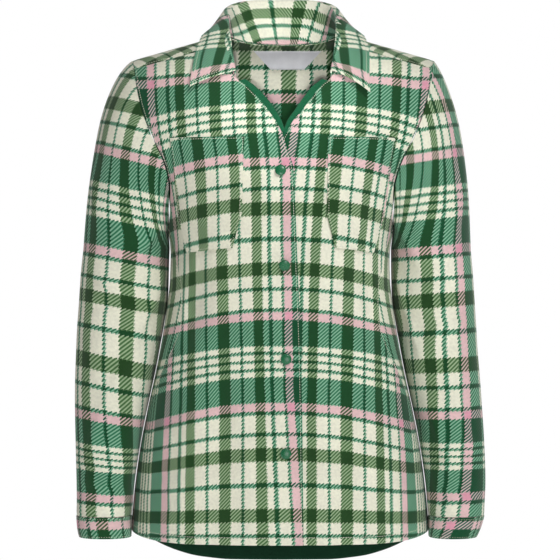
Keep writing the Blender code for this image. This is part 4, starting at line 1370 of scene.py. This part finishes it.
def sleeve_press(creases, part, z):
    """How far the smaller creases press a sleeve in, as on the body but round the arm."""
    turn, down, drift = SLEEVE_WAVE
    wave = noise.noise(Vector((math.cos(turn * part), z * down, part * drift)))
    depth = SURFACE_WAVE * wave
    for part1, z1, part2, z2, half_mm, depth_mm in creases:
        crease = (part1 * SLEEVE_ROUND, z1, part2 * SLEEVE_ROUND, z2, half_mm, depth_mm)
        uneven_at = (part * SLEEVE_UNEVEN, z * UNEVEN_SCALE, depth_mm)
        depth += crease_depth(crease, part * SLEEVE_ROUND, z, uneven_at)
    return depth


def sleeve_parts():
    """Parts of the turn round a tube, from the seam under the arm round the outside."""
    return [((j + 0.5) / SLEEVE_COLUMNS + 0.5) % 1.0 for j in range(SLEEVE_COLUMNS)]


def sleeve_grid(side):
    """Outer points of a sleeve, drawn on the left, in rings from the armhole to the cuff."""
    parts = sleeve_parts()
    head = [step / HEAD_END for step in spread(HEAD_ROWS) if step < HEAD_LAST]
    grid = [[sleeve_head_point(side, part, along) for part in parts] for along in head]
    for step in [0.0] + [step for step in spread(ARM_ROWS) if step > 0.02]:
        z = blend(SLEEVE_START, CUFF_TOP, step)
        grid.append([sleeve_ring(SLEEVE, side, z, part) for part in parts])
    for row, line in zip(grid, grid_normals(grid, True)):
        for j, part in enumerate(parts):
            z = row[j].z
            keep = ease(0.0, FLAT_BY_CUFF, abs(z - CUFF_TOP))
            row[j] = row[j] + line[j] * sleeve_press(SLEEVE_CREASES[side], part, z) * keep
    return grid


def cuff_grid(side):
    """Outer points of a cuff, drawn on the left."""
    rows = [blend(CUFF_TOP - SEAM, CUFF_BOTTOM, step) for step in spread(CUFF_ROWS)]
    return [[sleeve_ring(CUFF, side, z, part) for part in sleeve_parts()] for z in rows]


def tube_cloth(grid, side, outermost, down_at):
    """Places in the plaid round a tube drawn on the left, with a closing column."""
    cloth = []
    for row in grid:
        closed = row + [row[0]]
        lengths = run_lengths(closed)
        middle = lengths[len(row) // 2]
        line = []
        for length, point in zip(lengths, closed):
            across = outermost - SIDES[side] * (length - middle) * SLEEVE_RUN
            line.append((across, down_at(point)))
        cloth.append(line)
    return cloth


def sleeve_down_place(side, point):
    """Place down the plaid of a point on a sleeve; the stripes fall towards the body."""
    slope = read(SLEEVE_SLOPE, point.z, 1 if side == "right" else 2)
    return read(SLEEVE_DOWN[side], point.z) - slope * (point.x - SLEEVE_MIDDLE)


def turned_up(grid, cloth, side):
    """A tube drawn on the left from the top down, as rising rings on its own side."""
    if side == "left":
        grid = [[row[0]] + row[:0:-1] for row in grid]
        cloth = [line[::-1] for line in cloth]
    else:
        grid = [[mirrored(point) for point in row] for row in grid]
    return grid[::-1], cloth[::-1]


def make_sleeve(side):
    """One sleeve."""
    grid = sleeve_grid(side)
    cloth = tube_cloth(grid, side, SLEEVE_PLACE[side], lambda p: sleeve_down_place(side, p))
    rings, cloth = turned_up(grid, cloth, side)
    piece = make_wall(f"sleeve_{side}_tube", rings, WALL, cloth, [PLAID, SHADED_WRONG_SIDE], wrap=True)
    declare(piece, f"sleeve_{side}")


def make_cuff(side):
    """One cuff, cut from another place so that a pink stripe runs round it."""
    grid = cuff_grid(side)
    cloth = tube_cloth(grid, side, CUFF_PLACE[side], lambda p: p.z - CUFF_PINK + PINK_PLACE)
    rings, cloth = turned_up(grid, cloth, side)
    piece = make_wall(f"cuff_{side}_band", rings, WALL, cloth, [PLAID], wrap=True)
    declare(piece, f"cuff_{side}")
    return rings


for side in SIDES:
    make_sleeve(side)
cuffs = {side: make_cuff(side) for side in SIDES}

# %% [markdown]
# The collar stands up from the neck seam, turns over its roll and falls to the free edge
# of the leaf. A section is drawn at each of many stations from the front end round to the
# middle of the back, and the two halves differ a little at their points. Stand and leaf are
# cut across the cloth, the leaf in two halves that mirror each other and the stand in one,
# so the plaid changes at the roll. Towards the front the collar opens out flat, and only
# the leaf's cloth shows there.

# %% Collar
# Station from the front end to the back, then where the roll lies: out, back and up
ROLL = (
    (0.00, 0.0600, -0.0900, -0.0330), (0.16, 0.0625, -0.0730, -0.0100),
    (0.34, 0.0665, -0.0420, 0.0210), (0.52, 0.0690, 0.0020, 0.0470),
    (0.68, 0.0640, 0.0400, 0.0640), (0.84, 0.0400, 0.0640, 0.0735),
    (1.00, 0.0000, 0.0720, 0.0750),
)
# Station, then the leaf's edge: distance out, turn over the shoulder, height off it
LEAF_EDGE = (
    (0.00, 0.1120, 42.5, 0.0120), (0.16, 0.1110, 58.0, 0.0070), (0.34, 0.1060, 76.0, 0.0055),
    (0.52, 0.1000, 96.0, 0.0050), (0.68, 0.0860, 112.0, 0.0050),
    (0.84, 0.0480, 124.0, 0.0050), (1.00, 0.0000, 128.0, 0.0050),
)
LEAF_TIP_SHIFT = {"right": (0.004, 1.5), "left": (-0.004, -1.5)}
FRONT_SHARE = 0.34
TIP_ENDS = 0.3
SEAM_LIFT, SEAM_IN = GAP + 0.0008, 0.0006
# The roll's start and end beside the stand's top, in shares of its radius
ROLL_RADIUS, ROLL_START, ROLL_END = 0.0055, 0.35, 1.35
STAND_SHARES = (0.0, 0.3, 0.6, 0.85)
STAND_TOP = 0.97
LEAF_BULGE, BULGE_AT = 0.004, 0.45
COLLAR_STATIONS, COLLAR_ROWS = 44, 30
STAND_SCALE = 1.0 / 1.10
STAND_PLACE = (0.0140, 0.0280)
LEAF_PLACE = (0.0120, 0.0850)
STAND_SHOWS = 0.150


def neck_point(station):
    """Point of the neck seam on the left: 0 at the front end, 1 behind."""
    if station <= FRONT_SHARE:
        z = blend(NECK_TOP, NECK_SEAM_HEIGHT, station / FRONT_SHARE)
        return front_point(read(LEFT_EDGE, z), z)
    share = 0.5 * (1.0 - (station - FRONT_SHARE) / (1.0 - FRONT_SHARE))
    return shoulder_point(read(YOKE_TOP, share, 1), read(YOKE_TOP, share, 2))


def leaf_end(station, side):
    """Point of the leaf's free edge, lifted off the shoulders and chest."""
    tip = 1.0 - ease(0.0, TIP_ENDS, station)
    x = read(LEAF_EDGE, station, 1) + LEAF_TIP_SHIFT[side][0] * tip
    turn = read(LEAF_EDGE, station, 2) + LEAF_TIP_SHIFT[side][1] * tip
    point = shoulder_point(x, turn)
    along = shoulder_point(x + 0.001, turn) - point
    over = shoulder_point(x, turn + 1.0) - point
    return point + along.cross(over).normalized() * (read(LEAF_EDGE, station, 3) + WALL)


def curve_through(points, shares):
    """Points at shares of the length of a smooth curve through a few points."""
    lengths = run_lengths(points)
    tables = [[(length, point[k]) for length, point in zip(lengths, points)] for k in range(3)]
    return [Vector([read(table, lengths[-1] * share) for table in tables]) for share in shares]


def collar_profile(station, side):
    """One section of the collar from the seam to the leaf's edge, and the roll's share."""
    seam = neck_point(station)
    crest = Vector([read(ROLL, station, column) for column in (1, 2, 3)])
    edge = leaf_end(station, side)
    outward = Vector((edge.x - seam.x, edge.y - seam.y, 0.0)).normalized()
    seam = seam + UP * SEAM_LIFT - outward * SEAM_IN
    rise = crest - seam
    top = seam + rise * STAND_TOP + outward * ROLL_RADIUS * ROLL_START
    over = top + outward * ROLL_RADIUS * ROLL_END - UP * ROLL_RADIUS * ROLL_START
    bulge = over.lerp(edge, BULGE_AT) + (outward + UP / 2.0) * LEAF_BULGE
    points = [seam + rise * t for t in STAND_SHARES] + [top]
    for t in levels(0.0, 1.0, 7):
        points.append(over * (1 - t) ** 2 + bulge * 2 * t * (1 - t) + edge * t**2)
    lengths = run_lengths(points)
    roll_share = lengths[len(STAND_SHARES)] / lengths[-1]
    return curve_through(points, spread(COLLAR_ROWS)), roll_share


def collar_sections():
    """Sections from the right front end round the back to the left one, and their rolls."""
    stations = spread(COLLAR_STATIONS)
    right = [collar_profile(station, "right") for station in stations]
    right = [([mirrored(point) for point in points], roll) for points, roll in right]
    left = [collar_profile(station, "left") for station in stations[:-1]]
    return right + left[::-1]


def collar_cloths(grid, rolls):
    """Places in the plaid on the stand and on the leaf, and the rule that parts them."""
    middle = len(grid[0]) // 2
    columns = [run_lengths(column) for column in zip(*grid)]
    shares = [columns[middle][i] / columns[middle][-1] for i in range(len(grid))]
    at_roll = min(range(len(grid)), key=lambda i: abs(shares[i] - rolls[middle]))
    along = run_lengths(grid[at_roll])
    from_middle = [length - along[middle] for length in along]
    print(f"collar, along its roll: {along[-1]:.3f} m")
    stand, leaf = [], []
    for i in range(len(grid)):
        stand.append([])
        leaf.append([])
        for j, across in enumerate(from_middle):
            below_roll = (columns[j][at_roll] - columns[j][i]) * STAND_SCALE
            place = (below_roll + STAND_PLACE[1], across * STAND_SCALE + STAND_PLACE[0])
            stand[-1].append(place)
            from_edge = columns[j][-1] - columns[j][i]
            from_front = from_middle[-1] - abs(across)
            leaf[-1].append((from_edge + LEAF_PLACE[0], from_front + LEAF_PLACE[1]))

    def on_stand(i, j):
        """Whether a face lies on the stand, behind where the collar opens out."""
        return i < at_roll and abs(from_middle[j]) < STAND_SHOWS

    return leaf, (stand, on_stand)


def make_collar():
    """The collar, plaid on both faces."""
    sections = collar_sections()
    grid = [list(row) for row in zip(*[points for points, _ in sections])]
    leaf, stand = collar_cloths(grid, [roll for _, roll in sections])
    piece = make_wall("turned_collar", grid, WALL, leaf, [PLAID], cut=stand)
    declare(piece, "collar")
    return grid


collar_points = make_collar()

# %% [markdown]
# Two strips of the wrong side of the cloth show along the open neck, where the front
# edges roll open. A patch pocket sits on each front, with a straight top and its lower
# corners cut off; its points are the front's own, moved out, so it lies on the cloth.

# %% Facings and pockets
FACING_SHOWS = 0.0095
FACING_UNDER = 0.014
FACING_GAP = 0.0012
FACING_BELOW_NECK, FACING_WIDENS = 0.002, 0.03
FACING_SHOWS_LOW, FACING_SLANT = 0.002, 0.3
FACING_ROWS = 24
FACING_STEPS = (0.0, 0.04, 0.1, 0.2, 0.4, 0.6, 0.8, 0.9, 0.96, 1.0)
FACING_BOTTOM = {"right": -0.113, "left": -0.140}
POCKET_TOP = -0.120
POCKET_BOTTOM = -0.260
POCKET_CUT = -0.217
POCKETS = {
    "right": {"inner": 0.0495, "inner_low": 0.0600, "outer": 0.1430, "outer_low": 0.1240},
    "left": {"inner": 0.0570, "inner_low": 0.0690, "outer": 0.1420, "outer_low": 0.1240},
}
POCKET_SLANT = 0.006
POCKET_CUT_IN = 0.006
POCKET_GAP = 0.0010
POCKET_PLACE = (0.027, 0.0065)
POCKET_ROWS, POCKET_COLUMNS = 34, 24


def facing_grid(side):
    """Outer points of the strip along one edge of the open neck."""
    grid = []
    low, high = FACING_BOTTOM[side], NECK_TOP - FACING_BELOW_NECK
    for z in (blend(low, high, step) for step in spread(FACING_ROWS)):
        x = read(EDGES[side], z)
        widening = ease(FACING_BOTTOM["left"], NECK_TOP - FACING_WIDENS, z)
        shows = blend(FACING_SHOWS_LOW, FACING_SHOWS, widening)
        row = []
        for across in (blend(-shows, FACING_UNDER, step) for step in FACING_STEPS):
            row.append(lapped(side, front_point(x + across, z - FACING_SLANT * across)))
        grid.append(on_side(row, side))
    return moved_out(creased(grid, FRONT_CREASES), -WALL - FACING_GAP)


def make_facing(side):
    """One neck facing."""
    grid = facing_grid(side)
    cloth = [[(point.x, point.z) for point in row] for row in grid]
    piece = make_wall(f"facing_{side}_strip", grid, THIN_WALL, cloth, [FACING_CLOTH])
    declare(piece, f"facing_{side}")


def pocket_grid(side):
    """Outer points of a patch pocket, a gap and a wall outside the front."""
    size = POCKETS[side]
    grid = []
    for step in spread(POCKET_ROWS):
        z = blend(POCKET_BOTTOM, POCKET_TOP, step)
        cut = max((POCKET_CUT - z) / (POCKET_CUT - POCKET_BOTTOM), 0.0)
        taper = (POCKET_TOP - z) / (POCKET_TOP - POCKET_BOTTOM)
        inner = blend(size["inner"], size["inner_low"], cut)
        outer = blend(size["outer"], size["outer_low"], taper) - POCKET_CUT_IN * cut
        row = []
        for share in spread(POCKET_COLUMNS):
            down = POCKET_SLANT * share * taper
            row.append(front_point(blend(inner, outer, share), z - down))
        grid.append(on_side(row, side))
    return moved_out(creased(grid, FRONT_CREASES), POCKET_GAP + WALL)


def make_pocket(side):
    """One patch pocket."""
    grid = pocket_grid(side)
    cloth = front_cloth(grid, side, *POCKET_PLACE)
    piece = make_wall(f"pocket_{side}_patch", grid, WALL, cloth, [PLAID])
    declare(piece, f"pocket_{side}")
    return grid


for side in SIDES:
    make_facing(side)
pockets = {side: make_pocket(side) for side in SIDES}

# %% [markdown]
# The label is woven satin, silver grey, and stays blank here. Its colour is drawn near
# white, lighter than that grey, as painted light for the shaded neck. Satin floats its
# threads along one direction, so it shines in a soft band across them; very fine ribs and
# an anisotropic gloss give that. It is a trapezoid, sewn on along its top edge.

# %% Label
LABEL_TOP, LABEL_BOTTOM = 0.0085, -0.0160
LABEL_HALF_TOP, LABEL_HALF_BOTTOM = 0.0450, 0.0225
LABEL_MIDDLE = 0.006
LABEL_GAP = 0.0010
LABEL_ROWS, LABEL_COLUMNS = 8, 24
RIBS = {"Scale": 420.0, "Distortion": 0.6, "Detail": 1.0}
SATIN = {"Roughness": 0.42, "Anisotropic": 0.5}


def woven_satin():
    """Satin-woven polyester label tape in silver grey, drawn lighter as painted light for the
    shaded neck.
    """
    material, shader = new_material("woven_satin_tape_painted_light")
    tree = material.node_tree
    uv = cloth_places(tree)
    waves = {"Vector": uv, **RIBS}
    ribs = add_node(tree, "ShaderNodeTexWave", {"bands_direction": "Y"}, waves).outputs[1]
    # The near-white base is the label's silver grey lightened: painted light for the shaded
    # neck.
    shade = scaled(tree, hex_colour("E4E4E8"), mapped(tree, ribs, low=0.90, high=1.06))
    shade = mottled(tree, shade, uv, (60.0, 0.06))
    normal = bumped(tree, ribs, 0.3, 0.0002)
    set_inputs(shader, {"Base Color": shade, "Normal": normal, **SATIN})
    return material


def label_grid():
    """Outer points of the label, inside the inner yoke."""
    grid = []
    for up in spread(LABEL_ROWS):
        half = blend(LABEL_HALF_BOTTOM, LABEL_HALF_TOP, up)
        z = blend(LABEL_BOTTOM, LABEL_TOP, up)
        reach = [LABEL_MIDDLE + blend(half, -half, step) for step in spread(LABEL_COLUMNS)]
        grid.append([back_point(x, z) for x in reach])
    return moved_out(grid, -WALL - YOKE_FACING_GAP - THIN_WALL - LABEL_GAP)


def make_label():
    """The blank label."""
    grid = label_grid()
    cloth = [[(point.x, point.z) for point in row] for row in grid]
    piece = make_wall("blank_label", grid, LABEL_WALL, cloth, [woven_satin()])
    declare(piece, "neck_label")
    return grid


label_points = make_label()

# %% [markdown]
# The seams are topstitched with spun polyester thread, a lockstitch of about eight
# stitches to the inch, which sinks into the fleece. A row of stitches is a path laid on
# a piece, a few millimetres inside one of its edges. One Geometry Nodes tree sews them
# all: it walks along each path at the stitch pitch, sets a small rounded stitch at each
# step, turned along the path and upright on the cloth, and makes them one mesh.

# %% Rows of stitches
STITCH_PITCH = 0.0032
STITCH_LENGTH = 0.0025
THREAD_RADIUS = 0.00034
STITCH_SINKS = 0.4
UNEVENNESS, SEED = 0.12, 7
EDGE_ROW = SEWN_AT
HEM_ROW = 0.0095
COLLAR_ROW = 0.0045
LABEL_ROW = 0.0012


def stitch_row(grid, edge, inset, wrap=False, part=(0.0, 1.0), thickness=WALL):
    """Path with outward normals, laid on a grid at a distance inside one of its edges."""
    outer = all_placed(grid)
    normals = grid_normals(outer, wrap)
    if edge in ("low", "high"):
        outer = list(zip(*outer))
        normals = list(zip(*normals))
    step = -1 if edge in ("high", "last") else 1
    sink = sunk(inset, thickness) - THREAD_RADIUS * STITCH_SINKS
    path = []
    for points, outs in zip(outer, normals):
        points, outs = points[::step], outs[::step]
        lengths = run_lengths(points)
        i = max(k for k in range(len(points) - 1) if lengths[k] <= inset)
        t = (inset - lengths[i]) / (lengths[i + 1] - lengths[i])
        out = outs[i].lerp(outs[i + 1], t).normalized()
        path.append((points[i].lerp(points[i + 1], t) - out * sink, out))
    if wrap:
        return path + path[:1]
    last = len(path) - 1
    return path[round(part[0] * last):round(part[1] * last) + 1]


def stitch_rows():
    """Every row of stitches on the jacket."""
    rows = []
    for side, opening, outside in (("right", "last", "first"), ("left", "first", "last")):
        front, pocket, cuff = fronts[side], pockets[side], cuffs[side]
        rows.append(stitch_row(front, opening, EDGE_ROW, part=(0.01, 0.95)))
        rows.append(stitch_row(front, outside, EDGE_ROW, part=(0.01, 0.99)))
        rows.append(stitch_row(front, "low", HEM_ROW, part=(0.06, 0.94)))
        for edge in ("low", "high", "first", "last"):
            rows.append(stitch_row(pocket, edge, EDGE_ROW, part=(0.06, 0.94)))
        for edge in ("low", "high"):
            rows.append(stitch_row(cuff, edge, EDGE_ROW, wrap=True))
    rows.append(stitch_row(back_points, "low", HEM_ROW))
    rows.append(stitch_row(yoke_points, "low", EDGE_ROW))
    for part in ((0.03, 0.26), (0.74, 0.97)):
        rows.append(stitch_row(yoke_points, "high", EDGE_ROW, part=part))
    for edge, part in (("high", (0.04, 0.96)), ("first", (0.40, 0.92)), ("last", (0.40, 0.92))):
        rows.append(stitch_row(collar_points, edge, COLLAR_ROW, part=part))
    part = (0.04, 0.96)
    rows.append(stitch_row(label_points, "high", LABEL_ROW, part=part, thickness=LABEL_WALL))
    return rows


def paths_mesh(rows):
    """Mesh of bare edges along the rows, with the cloth's normals in an attribute."""
    points, outs, edges = [], [], []
    for row in rows:
        start = len(points)
        points += [point for point, _ in row]
        outs += [out for _, out in row]
        edges += [(i, i + 1) for i in range(start, len(points) - 1)]
    mesh = bpy.data.meshes.new("stitch_paths")
    mesh.from_pydata(points, edges, [])
    upright = mesh.attributes.new("upright", "FLOAT_VECTOR", "POINT")
    upright.data.foreach_set("vector", [value for out in outs for value in out])
    return mesh


def sewing_tree():
    """Geometry Nodes tree that sets stitches along the edges of a mesh."""
    tree = bpy.data.node_groups.new("sew_along_edges", "GeometryNodeTree")
    tree.interface.new_socket("Geometry", in_out="OUTPUT", socket_type="NodeSocketGeometry")
    tree.interface.new_socket("Geometry", in_out="INPUT", socket_type="NodeSocketGeometry")
    for name in ("Pitch", "Stitch length", "Thread radius", "Unevenness"):
        tree.interface.new_socket(name, in_out="INPUT", socket_type="NodeSocketFloat")
    tree.interface.new_socket("Seed", in_out="INPUT", socket_type="NodeSocketInt")
    tree.interface.new_socket("Thread", in_out="INPUT", socket_type="NodeSocketMaterial")

    def first(kind, inputs=None, **settings):
        """First output of a new node."""
        return add_node(tree, kind, settings, inputs).outputs[0]

    given = add_node(tree, "NodeGroupInput").outputs
    paths = first("GeometryNodeMeshToCurve", {"Mesh": given["Geometry"]})
    walk = {"Curve": paths, "Length": given["Pitch"]}
    steps = first("GeometryNodeResampleCurve", walk, mode="LENGTH")
    stored = {"Name": "upright"}
    upright = first("GeometryNodeInputNamedAttribute", stored, data_type="FLOAT_VECTOR")
    stand = first("FunctionNodeAlignRotationToVector", {"Vector": upright}, axis="Z")
    turn = {"Rotation": stand, "Vector": first("GeometryNodeInputTangent")}
    turn = first("FunctionNodeAlignRotationToVector", turn, axis="X", pivot_axis="Z")
    least = calc(tree, "SUBTRACT", 1.0, given["Unevenness"])
    most = calc(tree, "ADD", 1.0, given["Unevenness"])
    chance = {2: least, 3: most, "Seed": given["Seed"]}
    uneven = add_node(tree, "FunctionNodeRandomValue", {"data_type": "FLOAT"}, chance)
    uneven = uneven.outputs[1]
    half = calc(tree, "MULTIPLY", calc(tree, "MULTIPLY", given["Stitch length"], 0.5), uneven)
    radius = given["Thread radius"]
    size = first("ShaderNodeCombineXYZ", {0: half, 1: radius, 2: radius})
    ball = first("GeometryNodeMeshUVSphere", {"Segments": 8, "Rings": 4, "Radius": 1.0})
    place = {"Points": steps, "Instance": ball, "Rotation": turn, "Scale": size}
    sewn = first("GeometryNodeInstanceOnPoints", place)
    real = first("GeometryNodeRealizeInstances", {0: sewn})
    smooth = first("GeometryNodeSetShadeSmooth", {"Geometry": real})
    sewn = first("GeometryNodeSetMaterial", {"Geometry": smooth, "Material": given["Thread"]})
    add_node(tree, "NodeGroupOutput", inputs={"Geometry": sewn})
    return tree


def spun_thread():
    """Spun polyester sewing thread in cream: soft, with a twist that breaks its shine."""
    material, shader = new_material("spun_polyester_thread")
    tree = material.node_tree
    place = add_node(tree, "ShaderNodeTexCoord").outputs["Object"]
    waves = {"Vector": place, "Scale": 900.0, "Distortion": 1.5}
    twist = add_node(tree, "ShaderNodeTexWave", {"bands_direction": "DIAGONAL"}, waves)
    normal = bumped(tree, twist.outputs[1], 0.4, 0.0001)
    colour = mottled(tree, hex_colour("DAD8C6"), place, (400.0, 0.08))
    set_inputs(shader, {"Base Color": colour, "Normal": normal, "Roughness": 0.6})
    return material


def sew(rows, tree, thread):
    """All the stitches as one plain mesh."""
    paths = add_object("stitch_paths", paths_mesh(rows))
    sewing = paths.modifiers.new("sewing", "NODES")
    sewing.node_group = tree
    values = {
        "Pitch": STITCH_PITCH,
        "Stitch length": STITCH_LENGTH,
        "Thread radius": THREAD_RADIUS,
        "Unevenness": UNEVENNESS,
        "Seed": SEED,
        "Thread": thread,
    }
    for item in tree.interface.items_tree:
        if item.in_out == "INPUT" and item.name in values:
            sewing[item.identifier] = values[item.name]
    depsgraph = bpy.context.evaluated_depsgraph_get()
    mesh = bpy.data.meshes.new_from_object(paths.evaluated_get(depsgraph))
    mesh.name = "topstitching"
    bpy.data.objects.remove(paths)
    piece = add_object("topstitching", mesh)
    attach(piece, "root")
    return piece


sewn_rows = stitch_rows()
topstitching = sew(sewn_rows, sewing_tree(), spun_thread())
print(len(sewn_rows), "rows,", len(topstitching.data.polygons), "faces of thread")

# %% [markdown]
# The snaps are moulded acetal caps with a gloss: a low dome with a rolled rim, pressed on
# from outside and seated flat. Each is spun from a profile.

# %% Snaps
SNAP_RADIUS = 0.0070
SNAP_HEIGHT = 0.0036
SNAP_PITCH = 0.1194
FIRST_SNAP = -0.163
SNAP_COUNT = 4
# Height, distance from the lapped edge
SNAP_INSET = (
    (-0.530, 0.0215), (-0.400, 0.0190), (-0.280, 0.0165),
)
SNAP_FEELS = (-0.0060, 0.0, 0.0060)
SNAP_SEGMENTS = 48
# Shares of the cap's radius and height: the dome's shoulder and rise, the groove beside it,
# the middle of the rim and its half width and half height, and the seat
DOME_SHOULDER, DOME_RISE = 0.62, 0.38
GROOVE = ((0.84, 0.735), (0.875, 0.72))
RIM_MIDDLE, RIM_HALF = (0.93, 0.50), (0.07, 0.26)
SEAT = ((0.90, 0.05), (0.0, 0.05))


def moulded_acetal():
    """Injection-moulded acetal, glossy and dark green, with very faint scuffs."""
    material, shader = new_material("moulded_green_acetal")
    tree = material.node_tree
    place = add_node(tree, "ShaderNodeTexCoord").outputs["Object"]
    scuffs = {"Vector": place, "Scale": 900.0, "Detail": 4.0}
    scuffs = add_node(tree, "ShaderNodeTexNoise", inputs=scuffs).outputs[0]
    rough = mapped(tree, scuffs, from_low=0.3, from_high=0.8, low=0.20, high=0.34)
    colour = mottled(tree, hex_colour("12613B"), place, (500.0, 0.05))
    set_inputs(shader, {"Base Color": colour, "Roughness": rough, "IOR": 1.48})
    return material


def snap_profile():
    """Shares of the cap's radius and height down its profile: dome, groove, rim, seat."""
    shares = [i / 10.0 for i in range(9)]
    dome = [(share, DOME_SHOULDER + DOME_RISE * math.sqrt(1.0 - share**2)) for share in shares]
    rim = []
    for turn in (math.radians(100.0 - 30.0 * i) for i in range(7)):
        out, up = math.cos(turn), math.sin(turn)
        rim.append((RIM_MIDDLE[0] + RIM_HALF[0] * out, RIM_MIDDLE[1] + RIM_HALF[1] * up))
    return [*dome, *GROOVE, *rim, *SEAT]


def make_snap(number, finish):
    """One cap, seated flat on the lapped edge."""
    z = FIRST_SNAP - number * SNAP_PITCH
    x = -read(RIGHT_EDGE, z) - read(SNAP_INSET, z)
    around = [[front_point(x + dx, z + dz) for dx in SNAP_FEELS] for dz in SNAP_FEELS]
    around = creased(around, FRONT_CREASES)
    seat = placed(around[1][1])
    seat.y = min(point.y for row in around for point in row)
    up = (around[2][1] - around[0][1]).normalized()
    out = Vector((0.0, -1.0, 0.0))
    out = (out - up * out.dot(up)).normalized()
    across = up.cross(out)
    mesh = bmesh.new()
    rings = []
    for radius, height in snap_profile():
        middle = seat + out * (GAP + SNAP_HEIGHT * height)
        ring = [middle]
        if radius > 0.0:
            turns = [2.0 * math.pi * i / SNAP_SEGMENTS for i in range(SNAP_SEGMENTS)]
            ways = [across * math.cos(t) + up * math.sin(t) for t in turns]
            ring = [middle + way * SNAP_RADIUS * radius for way in ways]
        rings.append([mesh.verts.new(point) for point in ring])
    for first, second in zip(rings, rings[1:]):
        for i in range(SNAP_SEGMENTS):
            k = (i + 1) % SNAP_SEGMENTS
            corners = [first[i % len(first)], first[k % len(first)]]
            corners += [second[k % len(second)], second[i % len(second)]]
            mesh.faces.new(list(dict.fromkeys(corners))).smooth = True
    bmesh.ops.recalc_face_normals(mesh, faces=mesh.faces)
    data = bpy.data.meshes.new(f"snap_cap_{number + 1}")
    mesh.to_mesh(data)
    mesh.free()
    data.materials.append(finish)
    piece = add_object(data.name, data)
    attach(piece, "root")
    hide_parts(f"snap_{number + 1}")


ACETAL = moulded_acetal()
for number in range(SNAP_COUNT):
    make_snap(number, ACETAL)
print(SNAP_COUNT, "snaps,", f"{SNAP_RADIUS * 2000:.1f} mm across")

# %% [markdown]

# %% End
print("scene built")
